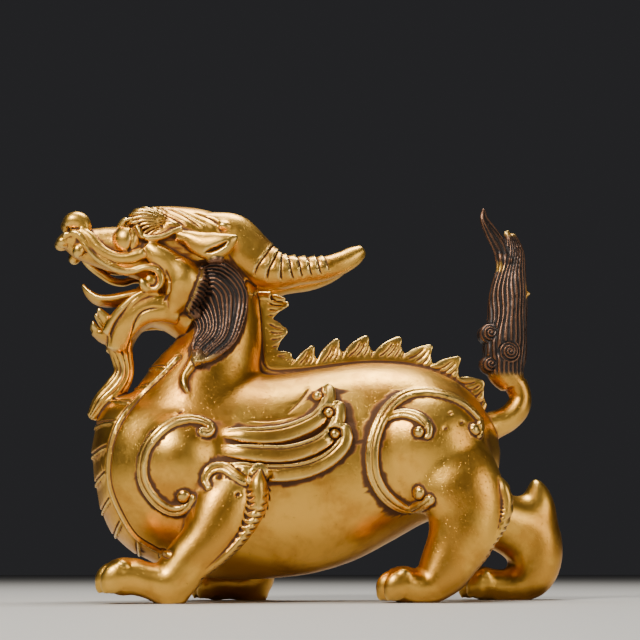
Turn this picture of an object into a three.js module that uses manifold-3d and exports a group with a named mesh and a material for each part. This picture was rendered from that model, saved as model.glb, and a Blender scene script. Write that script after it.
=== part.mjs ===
// A gilt bronze mythical beast, cast in one piece: a crouching, winged, two-horned animal with a raised
// head, an open mouth, a beard that joins the chest, a toothed crest down neck and back, scrolled
// shoulders and haunches, and an upright tail with a tuft of curls.
//
// Millimetres, +Z up. The beast faces -X, its left flank is on the -Y side, and the soles lie at z = 0.
// Every form is first laid out on a straight beast. At the end the head is turned to the beast's left,
// and the whole is moved from the layout's origin to the part's.

import * as THREE from "three";
import { mergeVertices } from "three/addons/utils/BufferGeometryUtils.js";
import Module from "manifold-3d";

const wasm = await Module();
wasm.setup();

// Driving dimensions
const modelScale = 1; // 1 gives the real object, 187 mm from the nose to the far heel
const chestHalfWidth = 27.5; // of the body behind the shoulders
const waistHalfWidth = 24.5; // of the body before the haunches
const stanceHalfWidth = 27; // from the middle to the middle of a front paw
const hindStanceHalfWidth = 23; // the same for a hind paw
const headTurn = THREE.MathUtils.degToRad(8); // of the head, to the beast's left
const headTurnFrom = 70; // height where the neck starts to turn
const headTurnTo = 112; // height from where all is turned
const neckAxisX = -36; // the upright line that the head turns about
const hornSpread = 8.5; // from the middle to a horn's line
const leftPawLift = 2.6; // of the left fore paw, which stands on its heel
const crestThickness = 3;
const reliefHeight = 1.3; // how far scrolls and feathers stand proud of the skin
const partOrigin = [4.38, 0, -2.2]; // in the layout, under the middle of its box and level with the soles

const left = -1;
const right = 1;
const bothSides = [left, right];

const point = (x, y, z) => new THREE.Vector3(x, y, z);
const smoothStep = (low, high, value) => THREE.MathUtils.smoothstep(value, low, high);

// Solids

function solidOf(geometry) {
  const made = new wasm.Manifold(
    new wasm.Mesh({
      numProp: 3,
      vertProperties: Float32Array.from(geometry.attributes.position.array),
      triVerts: Uint32Array.from(geometry.index.array),
    }),
  );
  if (made.volume() > 0) return made;
  const turned = Uint32Array.from(geometry.index.array);
  for (let i = 0; i < turned.length; i += 3) [turned[i + 1], turned[i + 2]] = [turned[i + 2], turned[i + 1]];
  geometry.setIndex(new THREE.BufferAttribute(turned, 1));
  return solidOf(geometry);
}

function geometryOf(solid) {
  const { vertProperties, triVerts } = solid.getMesh();
  const geometry = new THREE.BufferGeometry();
  geometry.setAttribute("position", new THREE.BufferAttribute(Float32Array.from(vertProperties), 3));
  geometry.setIndex(new THREE.BufferAttribute(Uint32Array.from(triVerts), 1));
  return geometry;
}

const joined = (solids) => solids.reduce((whole, next) => whole.add(next));

function withoutSeams(geometry) {
  geometry.deleteAttribute("normal");
  geometry.deleteAttribute("uv");
  return mergeVertices(geometry, 1e-4);
}

// A closed body over elliptical sections. A station is [x, y, z, radius in the upright plane of the line,
// radius across it]. The rings of a sphere are laid along the smooth line through the stations.
// The sections stand square to the line, or square to the fixed direction facing.
function limb(stations, { sides = 10, rings = 2 * stations.length, dome = 0.45, facing } = {}) {
  const line = new THREE.CatmullRomCurve3(stations.map(([x, y, z]) => point(x, y, z)));
  const sizes = new THREE.CatmullRomCurve3(stations.map(([, , , inPlane, across]) => point(inPlane, across, 0)));
  const geometry = withoutSeams(new THREE.SphereGeometry(1, sides, rings + 1));
  const position = geometry.attributes.position;
  const vertex = new THREE.Vector3();
  for (let i = 0; i < position.count; i++) {
    vertex.fromBufferAttribute(position, i);
    const ring = (Math.acos(THREE.MathUtils.clamp(vertex.y, -1, 1)) / Math.PI) * (rings + 1);
    const t = THREE.MathUtils.clamp((ring - 1) / (rings - 1), 0, 1);
    const centre = line.getPoint(t);
    const size = sizes.getPoint(t);
    const along = facing ?? line.getTangent(t);
    const isPole = Math.abs(vertex.y) > 1 - 1e-6;
    if (isPole) {
      const outwards = vertex.y > 0 ? -1 : 1;
      centre.addScaledVector(along, outwards * dome * Math.min(size.x, size.y));
    } else {
      const across = point(0, 1, 0).addScaledVector(along, -along.y).normalize();
      const upwards = new THREE.Vector3().crossVectors(across, along);
      const angle = Math.atan2(vertex.z, vertex.x);
      centre.addScaledVector(upwards, size.x * Math.cos(angle)).addScaledVector(across, size.y * Math.sin(angle));
    }
    position.setXYZ(i, centre.x, centre.y, centre.z);
  }
  return solidOf(geometry);
}

// An ellipsoid, leaning in the upright plane by the angle given in degrees.
function ball([x, y, z], [rx, ry, rz], { sides = 10, rings = 8, lean = 0 } = {}) {
  const geometry = withoutSeams(new THREE.SphereGeometry(1, sides, rings));
  geometry.rotateX(Math.PI / 2);
  geometry.scale(rx, ry, rz);
  geometry.rotateY(THREE.MathUtils.degToRad(lean));
  geometry.translate(x, y, z);
  return solidOf(geometry);
}

// The same stations on the other flank.
const onSide = (side, stations) => stations.map(([x, y, z, ...sizes]) => [x, side * y, z, ...sizes]);

// Relief is laid on the skin of the body by looking at it from the side.
function skinReader(solid) {
  const mesh = new THREE.Mesh(geometryOf(solid), new THREE.MeshBasicMaterial({ side: THREE.DoubleSide }));
  const ray = new THREE.Raycaster();
  const startDistance = 200;
  return (x, z, side) => {
    ray.set(point(x, side * startDistance, z), point(0, -side, 0));
    const [hit] = ray.intersectObject(mesh);
    return hit ? hit.point.y : 0;
  };
}

// A rounded strap that follows a line [x, z] over the skin. widths holds its half width from end to end.
function strap(skin, side, line, widths, { height = reliefHeight, sides = 6, rings = 16 } = {}) {
  const path = new THREE.CatmullRomCurve3(line.map(([x, z]) => point(x, 0, z)));
  const stations = Array.from({ length: rings }, (_, i) => {
    const t = i / (rings - 1);
    const { x, z } = path.getPoint(t);
    const place = t * (widths.length - 1);
    const before = Math.min(Math.floor(place), widths.length - 2);
    const width = THREE.MathUtils.lerp(widths[before], widths[before + 1], place - before);
    return [x, skin(x, z, side), z, width, height];
  });
  return limb(stations, { sides, rings, dome: 0.6 });
}

// A closed plate over a grid of points on the skin. Each row holds [point on the skin, way out, height].
function plate(rows, depth = 2.5) {
  const across = rows[0].length;
  const outer = rows.flat().map(([at, out, height]) => at.clone().addScaledVector(out, height));
  const inner = rows.flat().map(([at, out]) => at.clone().addScaledVector(out, -depth));
  const index = [];
  const square = (a, b, c, d) => index.push(a, b, c, a, c, d);
  const under = outer.length;
  for (let row = 0; row + 1 < rows.length; row++) {
    for (let column = 0; column + 1 < across; column++) {
      const a = row * across + column;
      square(a, a + 1, a + across + 1, a + across);
      square(under + a, under + a + across, under + a + across + 1, under + a + 1);
    }
    const first = row * across;
    const last = first + across - 1;
    square(first, first + across, under + first + across, under + first);
    square(last, under + last, under + last + across, last + across);
  }
  const top = (rows.length - 1) * across;
  for (let column = 0; column + 1 < across; column++) {
    square(column, under + column, under + column + 1, column + 1);
    square(top + column, top + column + 1, under + top + column + 1, under + top + column);
  }
  const geometry = new THREE.BufferGeometry().setFromPoints([...outer, ...inner]);
  geometry.setIndex(index);
  return solidOf(geometry);
}

// Parallel ribs side by side between two lines on a flank. Each rib has its own share of both lines,
// [where it starts, where it ends], and is round across and low at both ends.
function ribs(skin, side, edge, otherEdge, shares, { height = reliefHeight, rows = 6, groove = 0.25 } = {}) {
  const lineOf = (points) => new THREE.CatmullRomCurve3(points.map(([x, z]) => point(x, 0, z)));
  const lines = [lineOf(edge), lineOf(otherEdge)];
  const out = point(0, side, 0);
  const columns = [];
  shares.forEach(([from, to], rib) => {
    const places = rib + 1 < shares.length ? [0, 0.32, 0.68] : [0, 0.32, 0.68, 1];
    for (const place of places) columns.push([(rib + place) / shares.length, from, to, place > 0 && place < 1]);
  });
  return plate(
    Array.from({ length: rows }, (_, row) =>
      columns.map(([across, from, to, isTop]) => {
        const t = THREE.MathUtils.lerp(from, to, row / (rows - 1));
        const { x, z } = lines[0].getPoint(t).lerp(lines[1].getPoint(t), across);
        const atEnd = row === 0 || row === rows - 1;
        const share = isTop ? (atEnd ? 0.7 : 1) : groove;
        return [point(x, skin(x, z, side), z), out, share * height];
      }),
    ),
  );
}

// An arc of an ellipse in the flank's plane, from one angle to another, in degrees from +X towards +Z.
function arc([cx, cz], rx, rz, from, to, count) {
  return Array.from({ length: count }, (_, i) => {
    const angle = THREE.MathUtils.degToRad(THREE.MathUtils.lerp(from, to, i / (count - 1)));
    return [cx + rx * Math.cos(angle), cz + rz * Math.sin(angle)];
  });
}

// Body and legs

function torso() {
  const chest = chestHalfWidth;
  const waist = waistHalfWidth;
  // x, lowest, highest, half width
  const sections = [
    [-75, 41, 57, 0.22 * chest],
    [-72.6, 29.6, 63.6, 0.46 * chest],
    [-69, 21.8, 67, 0.66 * chest],
    [-63, 15.8, 69, 0.84 * chest],
    [-55, 11.4, 71.6, 0.96 * chest],
    [-44, 7.4, 75, chest],
    [-30, 5.4, 76.4, chest],
    [-14, 5.6, 76.2, 0.97 * chest],
    [2, 7.6, 78.6, 0.99 * waist],
    [16, 12, 81, waist],
    [29, 18.6, 81.4, waist],
    [41, 25, 79.6, 0.96 * waist],
    [52, 28.4, 75, 0.84 * waist],
    [60, 32.6, 68.4, 0.66 * waist],
    [66.6, 41, 57, 0.34 * waist],
  ];
  const stations = sections.map(([x, low, high, halfWidth]) => [x, 0, (low + high) / 2, (high - low) / 2, halfWidth]);
  return limb(stations, { sides: 16, rings: 12, dome: 0.2, facing: point(1, 0, 0) });
}

function neck() {
  // height, front, back, half width
  const sections = [
    [54, -70.6, -10, 25],
    [62, -67, -14, 22.6],
    [69, -62.2, -17.4, 20],
    [75, -58.4, -18.4, 17.8],
    [81, -54.4, -17.8, 15.8],
    [87, -48.4, -17.2, 14],
    [93, -44.4, -17.4, 12.8],
    [101, -43.6, -18.2, 12],
    [110, -44, -19.6, 11.6],
    [118, -45, -22, 11],
  ];
  const stations = sections.map(([z, front, back, halfWidth]) => [(front + back) / 2, 0, z, (back - front) / 2, halfWidth]);
  return limb(stations, { sides: 12, rings: 7, dome: 0.1, facing: point(0, 0, 1) });
}

const shoulder = (side, shift) =>
  ball([-46.6 + shift, side * 15.5, 44.5], [16.8, 15.5, 17.6], { sides: 10, rings: 8 });

const haunch = (side, shift) => ball([39 + shift, side * 11.5, 50.5], [22, 18, 21.5], { sides: 11, rings: 8 });

// shoulderX and heelX are where the arm leaves the shoulder and where its heel stands. lift raises the paw.
function foreleg(side, shoulderX, heelX, lift) {
  const stance = stanceHalfWidth;
  const reach = shoulderX - heelX; // forward reach of the forearm
  const stations = [
    [shoulderX - 2.4, stance - 6.4, 39, 9.8, 7.6],
    [shoulderX + 1, stance - 3, 33, 11.4, 8.4],
    [shoulderX - 0.1 * reach, stance - 1, 26.5, 10.6, 8],
    [shoulderX - 0.34 * reach, stance, 18, 8.6, 7.4],
    [shoulderX - 0.62 * reach, stance, 11.6, 8, 7.2],
    [shoulderX - 0.92 * reach, stance, 4.4, 7.4, 7.2],
    [heelX - 5, stance, 3.6 + 0.6 * lift, 5.8, 7],
    [heelX - 11, stance, 4.2 + lift, 6, 7.4],
  ];
  const heelPad = ball([shoulderX - 0.9 * reach, side * stance, -0.2], [6, 5.4, 3.6], { sides: 8, rings: 5 });
  return joined([limb(onSide(side, stations), { sides: 8, rings: 10 }), heelPad]);
}

// The left leg is bent under the haunch, the right one is stretched back and shows its hock.
function leftHindLeg() {
  const stance = hindStanceHalfWidth;
  const stations = [
    [43, stance - 6, 44, 18, 11],
    [47.5, stance - 2, 36.6, 16.2, 10.8],
    [50.2, stance - 1, 29, 14.4, 10],
    [48.6, stance, 20.5, 12, 9],
    [45, stance, 13.4, 10, 8],
    [40.6, stance, 6.8, 8.4, 7.5],
    [36, stance, 3, 6.2, 7],
    [29.5, stance, 3.4, 6, 7.4],
  ];
  return limb(onSide(left, stations), { sides: 9, rings: 10 });
}

function rightHindLeg() {
  const stance = hindStanceHalfWidth;
  const stations = [
    [53, stance - 7, 40, 14, 11],
    [64, stance - 3, 31, 11, 10.8],
    [74.6, stance - 1, 26, 10.8, 10],
    [84, stance, 22, 12.4, 9],
    [86.4, stance, 14.6, 11.4, 8.4],
    [84.4, stance, 7.2, 9.6, 8],
    [78, stance, 3, 6.6, 7.4],
    [70, stance, 3, 6, 7.4],
  ];
  const hock = [
    [86, stance, 22, 9.6, 7.6],
    [88.2, stance, 30, 8, 6.8],
    [88.6, stance, 36, 5.6, 5.4],
    [88, stance, 40.4, 3.2, 3.4],
    [87.2, stance, 42.6, 1.2, 2],
  ];
  return joined([
    limb(onSide(right, stations), { sides: 9, rings: 10 }),
    limb(onSide(right, hock), { sides: 6, rings: 5 }),
  ]);
}

// A paw: a pad with three curled toes in front. toeX is where the longest toe ends.
function paw(side, toeX, stance, lift = 0) {
  const parts = [ball([toeX + 8.6, side * stance, 3.8 + lift], [6.6, 7.8, 6.2], { sides: 6, rings: 4 })];
  for (const toe of [-1, 0, 1]) {
    const across = toe * 5;
    const setBack = 0.07 * across * across;
    const middle = [toeX + 3.8 + setBack, side * stance + across, 3 + lift];
    parts.push(ball(middle, [4.2, 2.9, 5.2], { sides: 4, rings: 4, lean: 32 }));
  }
  return joined(parts);
}

// A lock of fur along the back of a leg, from its free tip down to the heel.
function fringe(side, stance, line) {
  const widths = [0.8, 2.4, 2.8, 2.6, 2.2, 1.6, 1];
  const stations = line.map(([x, z], i) => [x, stance, z, widths[i], 1.3 * widths[i] + 1]);
  return limb(onSide(side, stations), { sides: 4, rings: 7 });
}

// Head

function skull() {
  const stations = [
    [-65, 0, 122.5, 7.5, 7.5],
    [-59, 0, 123.2, 11, 10.5],
    [-48, 0, 122.6, 13, 12],
    [-38, 0, 121, 13.4, 12],
    [-30, 0, 118, 11.5, 11],
  ];
  return limb(stations, { sides: 10, rings: 6 });
}

function upperJaw() {
  const stations = [
    [-56, 0, 117, 9.5, 11],
    [-64, 0, 118.4, 8.6, 9.8],
    [-72, 0, 119, 7.6, 8.2],
    [-79, 0, 119.6, 6, 7],
    [-85, 0, 121, 4.4, 6.2],
    [-89, 0, 121, 1.6, 4],
  ];
  const nostrils = bothSides.map((side) =>
    ball([-84.6, side * 3.4, 125.2], [4.4, 3.8, 4.2], { sides: 6, rings: 5 }),
  );
  return joined([limb(stations, { sides: 8, rings: 6 }), ...nostrils]);
}

function lowerJaw() {
  const stations = [
    [-43, 0, 93.4, 6.4, 9.6],
    [-50, 0, 97.4, 6.4, 10.4],
    [-57, 0, 97.4, 5.4, 10.2],
    [-62, 0, 94, 4.6, 9.2],
    [-65.8, 0, 88.6, 4.4, 7.8],
    [-67, 0, 82.6, 4, 6],
  ];
  const lip = [
    [-66, 0, 91, 3, 7],
    [-71.4, 0, 88.4, 2.8, 6.4],
    [-76.6, 0, 89.6, 0.9, 2.6],
  ];
  const sides = bothSides.map((side) =>
    limb(
      onSide(side, [
        [-55, 9.4, 102.5, 2, 1.8],
        [-62, 8.8, 101.6, 2.2, 1.8],
        [-67.5, 7.4, 95.4, 2.6, 1.8],
        [-71.5, 5, 89.6, 2.4, 1.8],
      ]),
      { sides: 4, rings: 5 },
    ),
  );
  const fangs = bothSides.map((side) =>
    limb(onSide(side, [[-70.5, 5.2, 91, 2, 1.6], [-72.8, 5.3, 94.6, 1.6, 1.3], [-74.8, 5.4, 97.8, 0.6, 0.6]]), {
      sides: 4,
      rings: 3,
    }),
  );
  return joined([limb(stations, { sides: 8, rings: 6 }), limb(lip, { sides: 6, rings: 3 }), ...sides, ...fangs]);
}

function tongue() {
  const stations = [
    [-54, 0, 103.4, 3, 7],
    [-66, 0, 101.6, 2.4, 7],
    [-72, 0, 100.6, 2.1, 6],
    [-77, 0, 101.9, 1.5, 4.4],
    [-80.8, 0, 105.8, 0.5, 1],
  ];
  return limb(stations, { sides: 6, rings: 6 });
}

function cheek(side) {
  const bone = limb(
    onSide(side, [
      [-60, 9.6, 119.6, 2.6, 2.6],
      [-53, 10.6, 115.2, 5, 4],
      [-46, 10.6, 108.6, 8.4, 5.6],
      [-48.5, 9.6, 101.4, 5.6, 4.6],
      [-51, 8.6, 96.8, 2.6, 2.6],
    ]),
    { sides: 6, rings: 5 },
  );
  const sideTooth = ball([-60.6, side * 10.8, 104.8], [2, 1.6, 3.2], { sides: 5, rings: 4, lean: -30 });
  const upperFang = limb(onSide(side, [[-81.6, 5.6, 121.5, 2.2, 1.8], [-82.4, 5.8, 118.4, 2.1, 1.7], [-82.8, 5.8, 115, 0.8, 0.7]]), {
    sides: 4,
    rings: 3,
  });
  return joined([bone, sideTooth, upperFang]);
}

// The wavy upper lip, which ends in a curl round the corner of the mouth, and the fold above it.
function lips(side) {
  const lip = [
    [-88, 4.4, 122.6, 1.1, 1.3],
    [-84, 6.4, 123.8, 1.3, 1.3],
    [-79.4, 7.4, 118, 1.3, 1.3],
    [-73.4, 8.6, 112, 1.4, 1.4],
    [-67, 9.8, 109.9, 1.4, 1.4],
    [-60.4, 11.2, 112.3, 1.4, 1.4],
    [-55.8, 11.6, 110.6, 1.3, 1.4],
    [-55.6, 11.8, 106.2, 1.2, 1.4],
    [-58, 11.6, 104.4, 0.9, 1.2],
  ];
  const fold = [
    [-83.4, 6, 125.4, 1.2, 1.2],
    [-78.4, 7.4, 121, 1.8, 1.4],
    [-72.4, 8.8, 116, 1.9, 1.6],
    [-65.4, 10, 115.4, 1.9, 1.6],
    [-60, 10.6, 118.6, 1.9, 1.6],
  ];
  return joined([
    limb(onSide(side, lip), { sides: 4, rings: 10 }),
    limb(onSide(side, fold), { sides: 4, rings: 5 }),
  ]);
}

function eyeAndBrow(side) {
  const eye = ball([-66.8, side * 7.6, 121.2], [4.6, 4, 4.7], { sides: 6, rings: 4 });
  const browEdge = [
    [-69, 6.6, 125.6, 1.3, 1.5],
    [-66, 8.6, 129.4, 1.3, 1.5],
    [-63.2, 9.8, 127.6, 1.2, 1.4],
    [-61.4, 10.8, 124, 1.2, 1.4],
    [-57, 11.6, 123.4, 1.2, 1.4],
    [-50.4, 12, 126.6, 1, 1.2],
  ];
  const browHair = ball([-58, side * 6.6, 129.6], [8.6, 4.6, 5.6], { sides: 7, rings: 4, lean: 8 });
  return joined([eye, limb(onSide(side, browEdge), { sides: 4, rings: 7 }), browHair]);
}

function ear(side) {
  const shell = limb(
    onSide(side, [
      [-49.6, 10.8, 122.2, 2, 2.4],
      [-43, 13.8, 119.8, 4.2, 3.2],
      [-38, 16, 118.6, 4.9, 3.2],
      [-33.6, 17.6, 120, 3.2, 2.2],
      [-30.2, 18.7, 121.9, 0.8, 0.8],
    ]),
    { sides: 6, rings: 6 },
  );
  const hollow = ball([-38.4, side * 19.8, 117.8], [5.4, 3.4, 2.6], { sides: 6, rings: 5, lean: -12 });
  return shell.subtract(hollow);
}

// The horn's rings are ridges of its own radius, on the stretch between the brow and the bare tip.
function horn(side) {
  const y = hornSpread;
  const line = [
    [-42, y - 4, 127, 5, 4.4],
    [-35.6, y - 3, 127.2, 6, 5.2],
    [-29.6, y - 2, 125, 8, 6.2],
    [-23, y - 1, 118, 8.6, 6.4],
    [-14.4, y, 112.6, 6.8, 5.8],
    [-5.4, y + 0.4, 113.1, 5.1, 5],
    [3, y + 0.7, 114.2, 4.4, 4.4],
    [10, y + 0.9, 116.8, 4, 3.9],
    [15, y + 1, 119.8, 3.4, 3.2],
    [17.8, y + 1, 121.8, 2.2, 2.2],
  ];
  const ringCount = 5;
  const rows = 17;
  const along = new THREE.CatmullRomCurve3(line.map(([x, , z]) => point(x, 0, z)));
  const over = new THREE.CatmullRomCurve3(line.map(([, across, , inPlane, wide]) => point(across, inPlane, wide)));
  const stations = Array.from({ length: rows }, (_, row) => {
    const t = row / (rows - 1);
    const { x, z } = along.getPoint(t);
    const { x: across, y: inPlane, z: wide } = over.getPoint(t);
    const isRinged = row > 4 && row < 5 + 2 * ringCount;
    const grow = isRinged ? (row % 2 ? 1.09 : 0.94) : 1;
    return [x, across, z, inPlane * grow, wide * grow];
  });
  return limb(onSide(side, stations), { sides: 8, rings: rows });
}

// Locks that sweep from behind the ear and cheek down the side of the neck to one curled tip.
function mane(skin, side) {
  const front = [
    [-41, 103],
    [-42.5, 97],
    [-46.4, 89],
    [-44.2, 80],
    [-43.6, 75],
  ];
  const back = [
    [-28, 115],
    [-23.4, 104],
    [-24.2, 92],
    [-28.6, 81.6],
    [-38.6, 76.4],
  ];
  const lockCount = side === left ? 5 : 3;
  const locks = Array.from({ length: lockCount }, () => [0, 1]);
  const tip = [
    [-41, 79],
    [-43.6, 75.6],
    [-44.8, 72],
    [-43.4, 68.6],
  ];
  return [
    ribs(skin, side, front, back, locks, { height: 1.8, rows: 5, groove: 0.35 }),
    strap(skin, side, tip, [2, 1.4, 1, 0.6], { height: 1.4, sides: 4, rings: 4 }),
  ];
}

function beard() {
  const stations = [
    [-67.4, 0, 87, 4.8, 6.4],
    [-66, 0, 81, 3.8, 4.8],
    [-65.4, 0, 76, 3.6, 4.4],
    [-68.4, 0, 70, 4.2, 5],
    [-72.6, 0, 65, 3.8, 5],
    [-76.2, 0, 60.4, 1.8, 3],
  ];
  return limb(stations, { sides: 6, rings: 8 });
}

// Crest: one upright plate along neck and back, its free edge cut into leaning teeth.
function crest() {
  const top = [-12.5, 107];
  // where each tooth ends, and the notch behind it
  const teeth = [
    [-7.6, 101.6, -13.4, 96.6],
    [-8.3, 91.2, -11.8, 85.2],
    [-6.9, 83.6, -5.4, 81.4],
    [1.6, 86.7, 2.9, 81.8],
    [10.5, 89.8, 12, 84.4],
    [21.6, 91, 22.8, 84.8],
    [33.6, 91, 33.9, 84.6],
    [44.5, 87.4, 43.8, 80.6],
    [54.6, 83, 53, 76.2],
    [63, 74.2, 63.4, 66.6],
  ];
  const inside = [
    [60, 57],
    [45, 68],
    [22, 74],
    [0, 72],
    [-14, 66],
    [-24, 68],
    [-24, 107],
  ];
  const tipWidth = 1.3;
  const outline = [new THREE.Vector2(...top)];
  for (const [tipX, tipZ, notchX, notchZ] of teeth) {
    const tip = new THREE.Vector2(tipX, tipZ);
    const from = outline.at(-1);
    const rise = tip.clone().sub(from);
    const outwards = new THREE.Vector2(-rise.y, rise.x).normalize();
    outline.push(from.clone().addScaledVector(rise, 0.55).addScaledVector(outwards, 0.09 * rise.length()));
    outline.push(tip.clone().addScaledVector(rise.normalize(), -tipWidth).addScaledVector(outwards, 0.5));
    outline.push(tip, new THREE.Vector2(notchX, notchZ));
  }
  outline.push(...inside.map(([x, z]) => new THREE.Vector2(x, z)));
  const plate = new THREE.ExtrudeGeometry(new THREE.Shape(outline), { depth: crestThickness, bevelEnabled: false });
  plate.rotateX(Math.PI / 2);
  plate.translate(0, crestThickness / 2, 0);
  return solidOf(withoutSeams(plate));
}

// Tail: a bare stem, and a tuft that rises to two points over spiral curls.
function tail() {
  const stem = [
    [58, 0, 56, 7, 7.5],
    [66.2, 0, 59.6, 5.1, 5.4],
    [71.4, 0, 62, 4.6, 4.8],
    [75.2, 0, 65.8, 4.4, 4.6],
    [76.4, 0, 70, 4, 4.2],
    [74.6, 0, 75, 4.2, 4.6],
  ];
  const tuft = [
    [73.6, 0, 74, 4.6, 4.6],
    [71, 0, 80, 7.2, 6.4],
    [70.8, 0, 88, 8.2, 6.6],
    [72, 0, 97, 7.4, 6],
    [72.9, 0, 106, 7.2, 5.4],
    [74, 0, 115, 5.8, 4.4],
    [75, 0, 123, 4, 3.2],
    [73.8, 0, 129.6, 2, 2],
  ];
  const point2 = [
    [72.5, 0, 116, 3.6, 3.2],
    [70.2, 0, 124, 2.8, 2.6],
    [66.8, 0, 130, 2.4, 2],
    [64, 0, 135.4, 1.6, 1.4],
    [64.2, 0, 139.2, 0.6, 0.6],
  ];
  const curls = [
    ball([64.6, 0, 93], [3.8, 5, 3.9], { sides: 6, rings: 4 }),
    ball([64.8, 0, 82], [3.6, 5, 3.7], { sides: 6, rings: 4 }),
    ball([71.4, 0, 87], [5.4, 7.6, 5.4], { sides: 6, rings: 5 }),
  ];
  return joined([
    limb(stem, { sides: 7, rings: 6 }),
    limb(tuft, { sides: 7, rings: 7 }),
    limb(point2, { sides: 4, rings: 5 }),
    ...curls,
  ]);
}

// Relief on the flanks

// Three long feathers side by side. They sag from the shoulder and hook upwards at their rounded ends.
function wing(skin, side) {
  const upper = [
    [-36, 57.6],
    [-23, 56],
    [-11, 58.4],
    [-4.6, 63.2],
    [-0.6, 69],
    [-1, 74.4],
  ];
  const lower = [
    [-36, 45],
    [-22, 38.6],
    [-6, 38.6],
    [6, 44],
    [12, 52.4],
    [11.4, 59.4],
  ];
  const feathers = [
    [0, 0.99],
    [0, 0.97],
    [0.02, 0.95],
  ];
  return ribs(skin, side, upper, lower, feathers, { height: 2.1, rows: side === left ? 7 : 5, groove: 0.1 });
}

// The right flank is the plainer one.
const facets = (side) => (side === left ? 6 : 4);

// A C-shaped scroll round the shoulder, with a curl at each end.
function shoulderScroll(skin, side, shift) {
  const line = [
    ...arc([-37.6 + shift, 54.6], 2.6, 2.6, -60, 80, 3),
    ...arc([-46.4 + shift, 43.6], 12.4, 15.2, 70, 275, 10),
    ...arc([-44.6 + shift, 33], 4, 4.4, -60, 150, 5),
  ];
  return strap(skin, side, line, [1.6, 1.5, 2.1, 2.1, 2.1, 2.1, 2, 1.6, 1.2], { rings: 12, sides: facets(side) });
}

function haunchScrolls(skin, side, shift) {
  const outer = [
    [53.6 + shift, 54.6],
    ...arc([37.4 + shift, 50.6], 20.2, 19.6, 12, 268, 12),
    ...arc([34.4 + shift, 34.6], 3.4, 3.6, -50, 140, 4),
  ];
  const inner = [[24 + shift, 59.4], ...arc([31.4 + shift, 56.6], 5.6, 5.4, 140, -30, 6), [34.6 + shift, 52.6]];
  return [
    strap(skin, side, outer, [1.6, 2, 2.2, 2.2, 2.2, 2.2, 2, 1.4], { rings: 13, sides: facets(side) }),
    strap(skin, side, inner, [1, 1.7, 1.8, 1.5], { rings: 7, sides: 4 }),
  ].slice(0, side === left ? 2 : 1);
}

// A small spiral on the upper arm that runs out to the tip of the elbow.
function elbowScroll(skin, side, shift) {
  const line = [
    ...arc([-37 + shift, 41.6], 2.6, 2.8, 300, 90, 5),
    [-32 + shift, 43.4],
    [-27.6 + shift, 39.8],
    [-23 + shift, 39.6],
    [-20 + shift, 42.6],
  ];
  return strap(skin, side, line, [0.9, 1.3, 1.6, 1.7, 1.6, 1.2], { rings: 8, sides: 4 });
}

// Overlapping plates down the chest, between two rims. Each plate stands proud at its lower edge.
function chestPlates(body) {
  const rim = [
    [-47.6, 81],
    [-54, 75.4],
    [-60.4, 68.4],
    [-66.6, 60],
    [-70, 51],
    [-70.8, 43],
    [-69, 34],
    [-64.4, 26],
    [-57, 18.6],
  ];
  const halfWidth = [13, 14.5, 15.5, 16, 15.5, 15, 15, 14, 12];
  const mesh = new THREE.Mesh(geometryOf(body), new THREE.MeshBasicMaterial({ side: THREE.DoubleSide }));
  const ray = new THREE.Raycaster();
  const line = new THREE.CatmullRomCurve3(rim.map(([x, z]) => point(x, 0, z)));
  const widths = new THREE.CatmullRomCurve3(halfWidth.map((width) => point(width, 0, 0)));
  const plateCount = 6;
  const columns = 6;
  const edgeHeight = 1.4;
  const rows = Array.from({ length: 2 * plateCount }, (_, row) => {
    const number = Math.floor(row / 2);
    const isLowerEdge = row % 2 === 1;
    const t = (number + (isLowerEdge ? 0.96 : 0.04)) / plateCount;
    const along = line.getTangent(t);
    const out = point(along.z, 0, -along.x);
    const { x, z } = line.getPoint(t);
    const { x: width } = widths.getPoint(t);
    return Array.from({ length: columns }, (_, column) => {
      const share = (2 * column) / (columns - 1) - 1;
      const sag = 3.4 * (1 - share * share);
      const start = point(x, share * width, z).addScaledVector(along, sag).addScaledVector(out, -14);
      ray.set(start.clone().addScaledVector(out, 60), out.clone().negate());
      const hit = ray.intersectObject(mesh).at(0);
      const isRim = column === 0 || column === columns - 1;
      const height = isRim ? 0.9 : isLowerEdge ? edgeHeight : 0.3;
      return [hit ? hit.point : start, out, height];
    });
  });
  return [plate(rows, 3)];
}

// Assembly

const rightShoulderShift = 6; // the right legs stand further back, so shoulder and haunch are set back too
const rightHaunchShift = 9;

function bareBody() {
  return joined([
    torso(),
    neck(),
    skull(),
    shoulder(left, 0),
    shoulder(right, rightShoulderShift),
    haunch(left, 0),
    haunch(right, rightHaunchShift),
    foreleg(left, -31, -51, leftPawLift),
    foreleg(right, -17, -17.5, 0),
    leftHindLeg(),
    rightHindLeg(),
    paw(left, -72.6, stanceHalfWidth, leftPawLift),
    paw(right, -39, stanceHalfWidth),
    paw(left, 19.6, hindStanceHalfWidth),
    paw(right, 58.5, hindStanceHalfWidth),
  ]);
}

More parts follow.
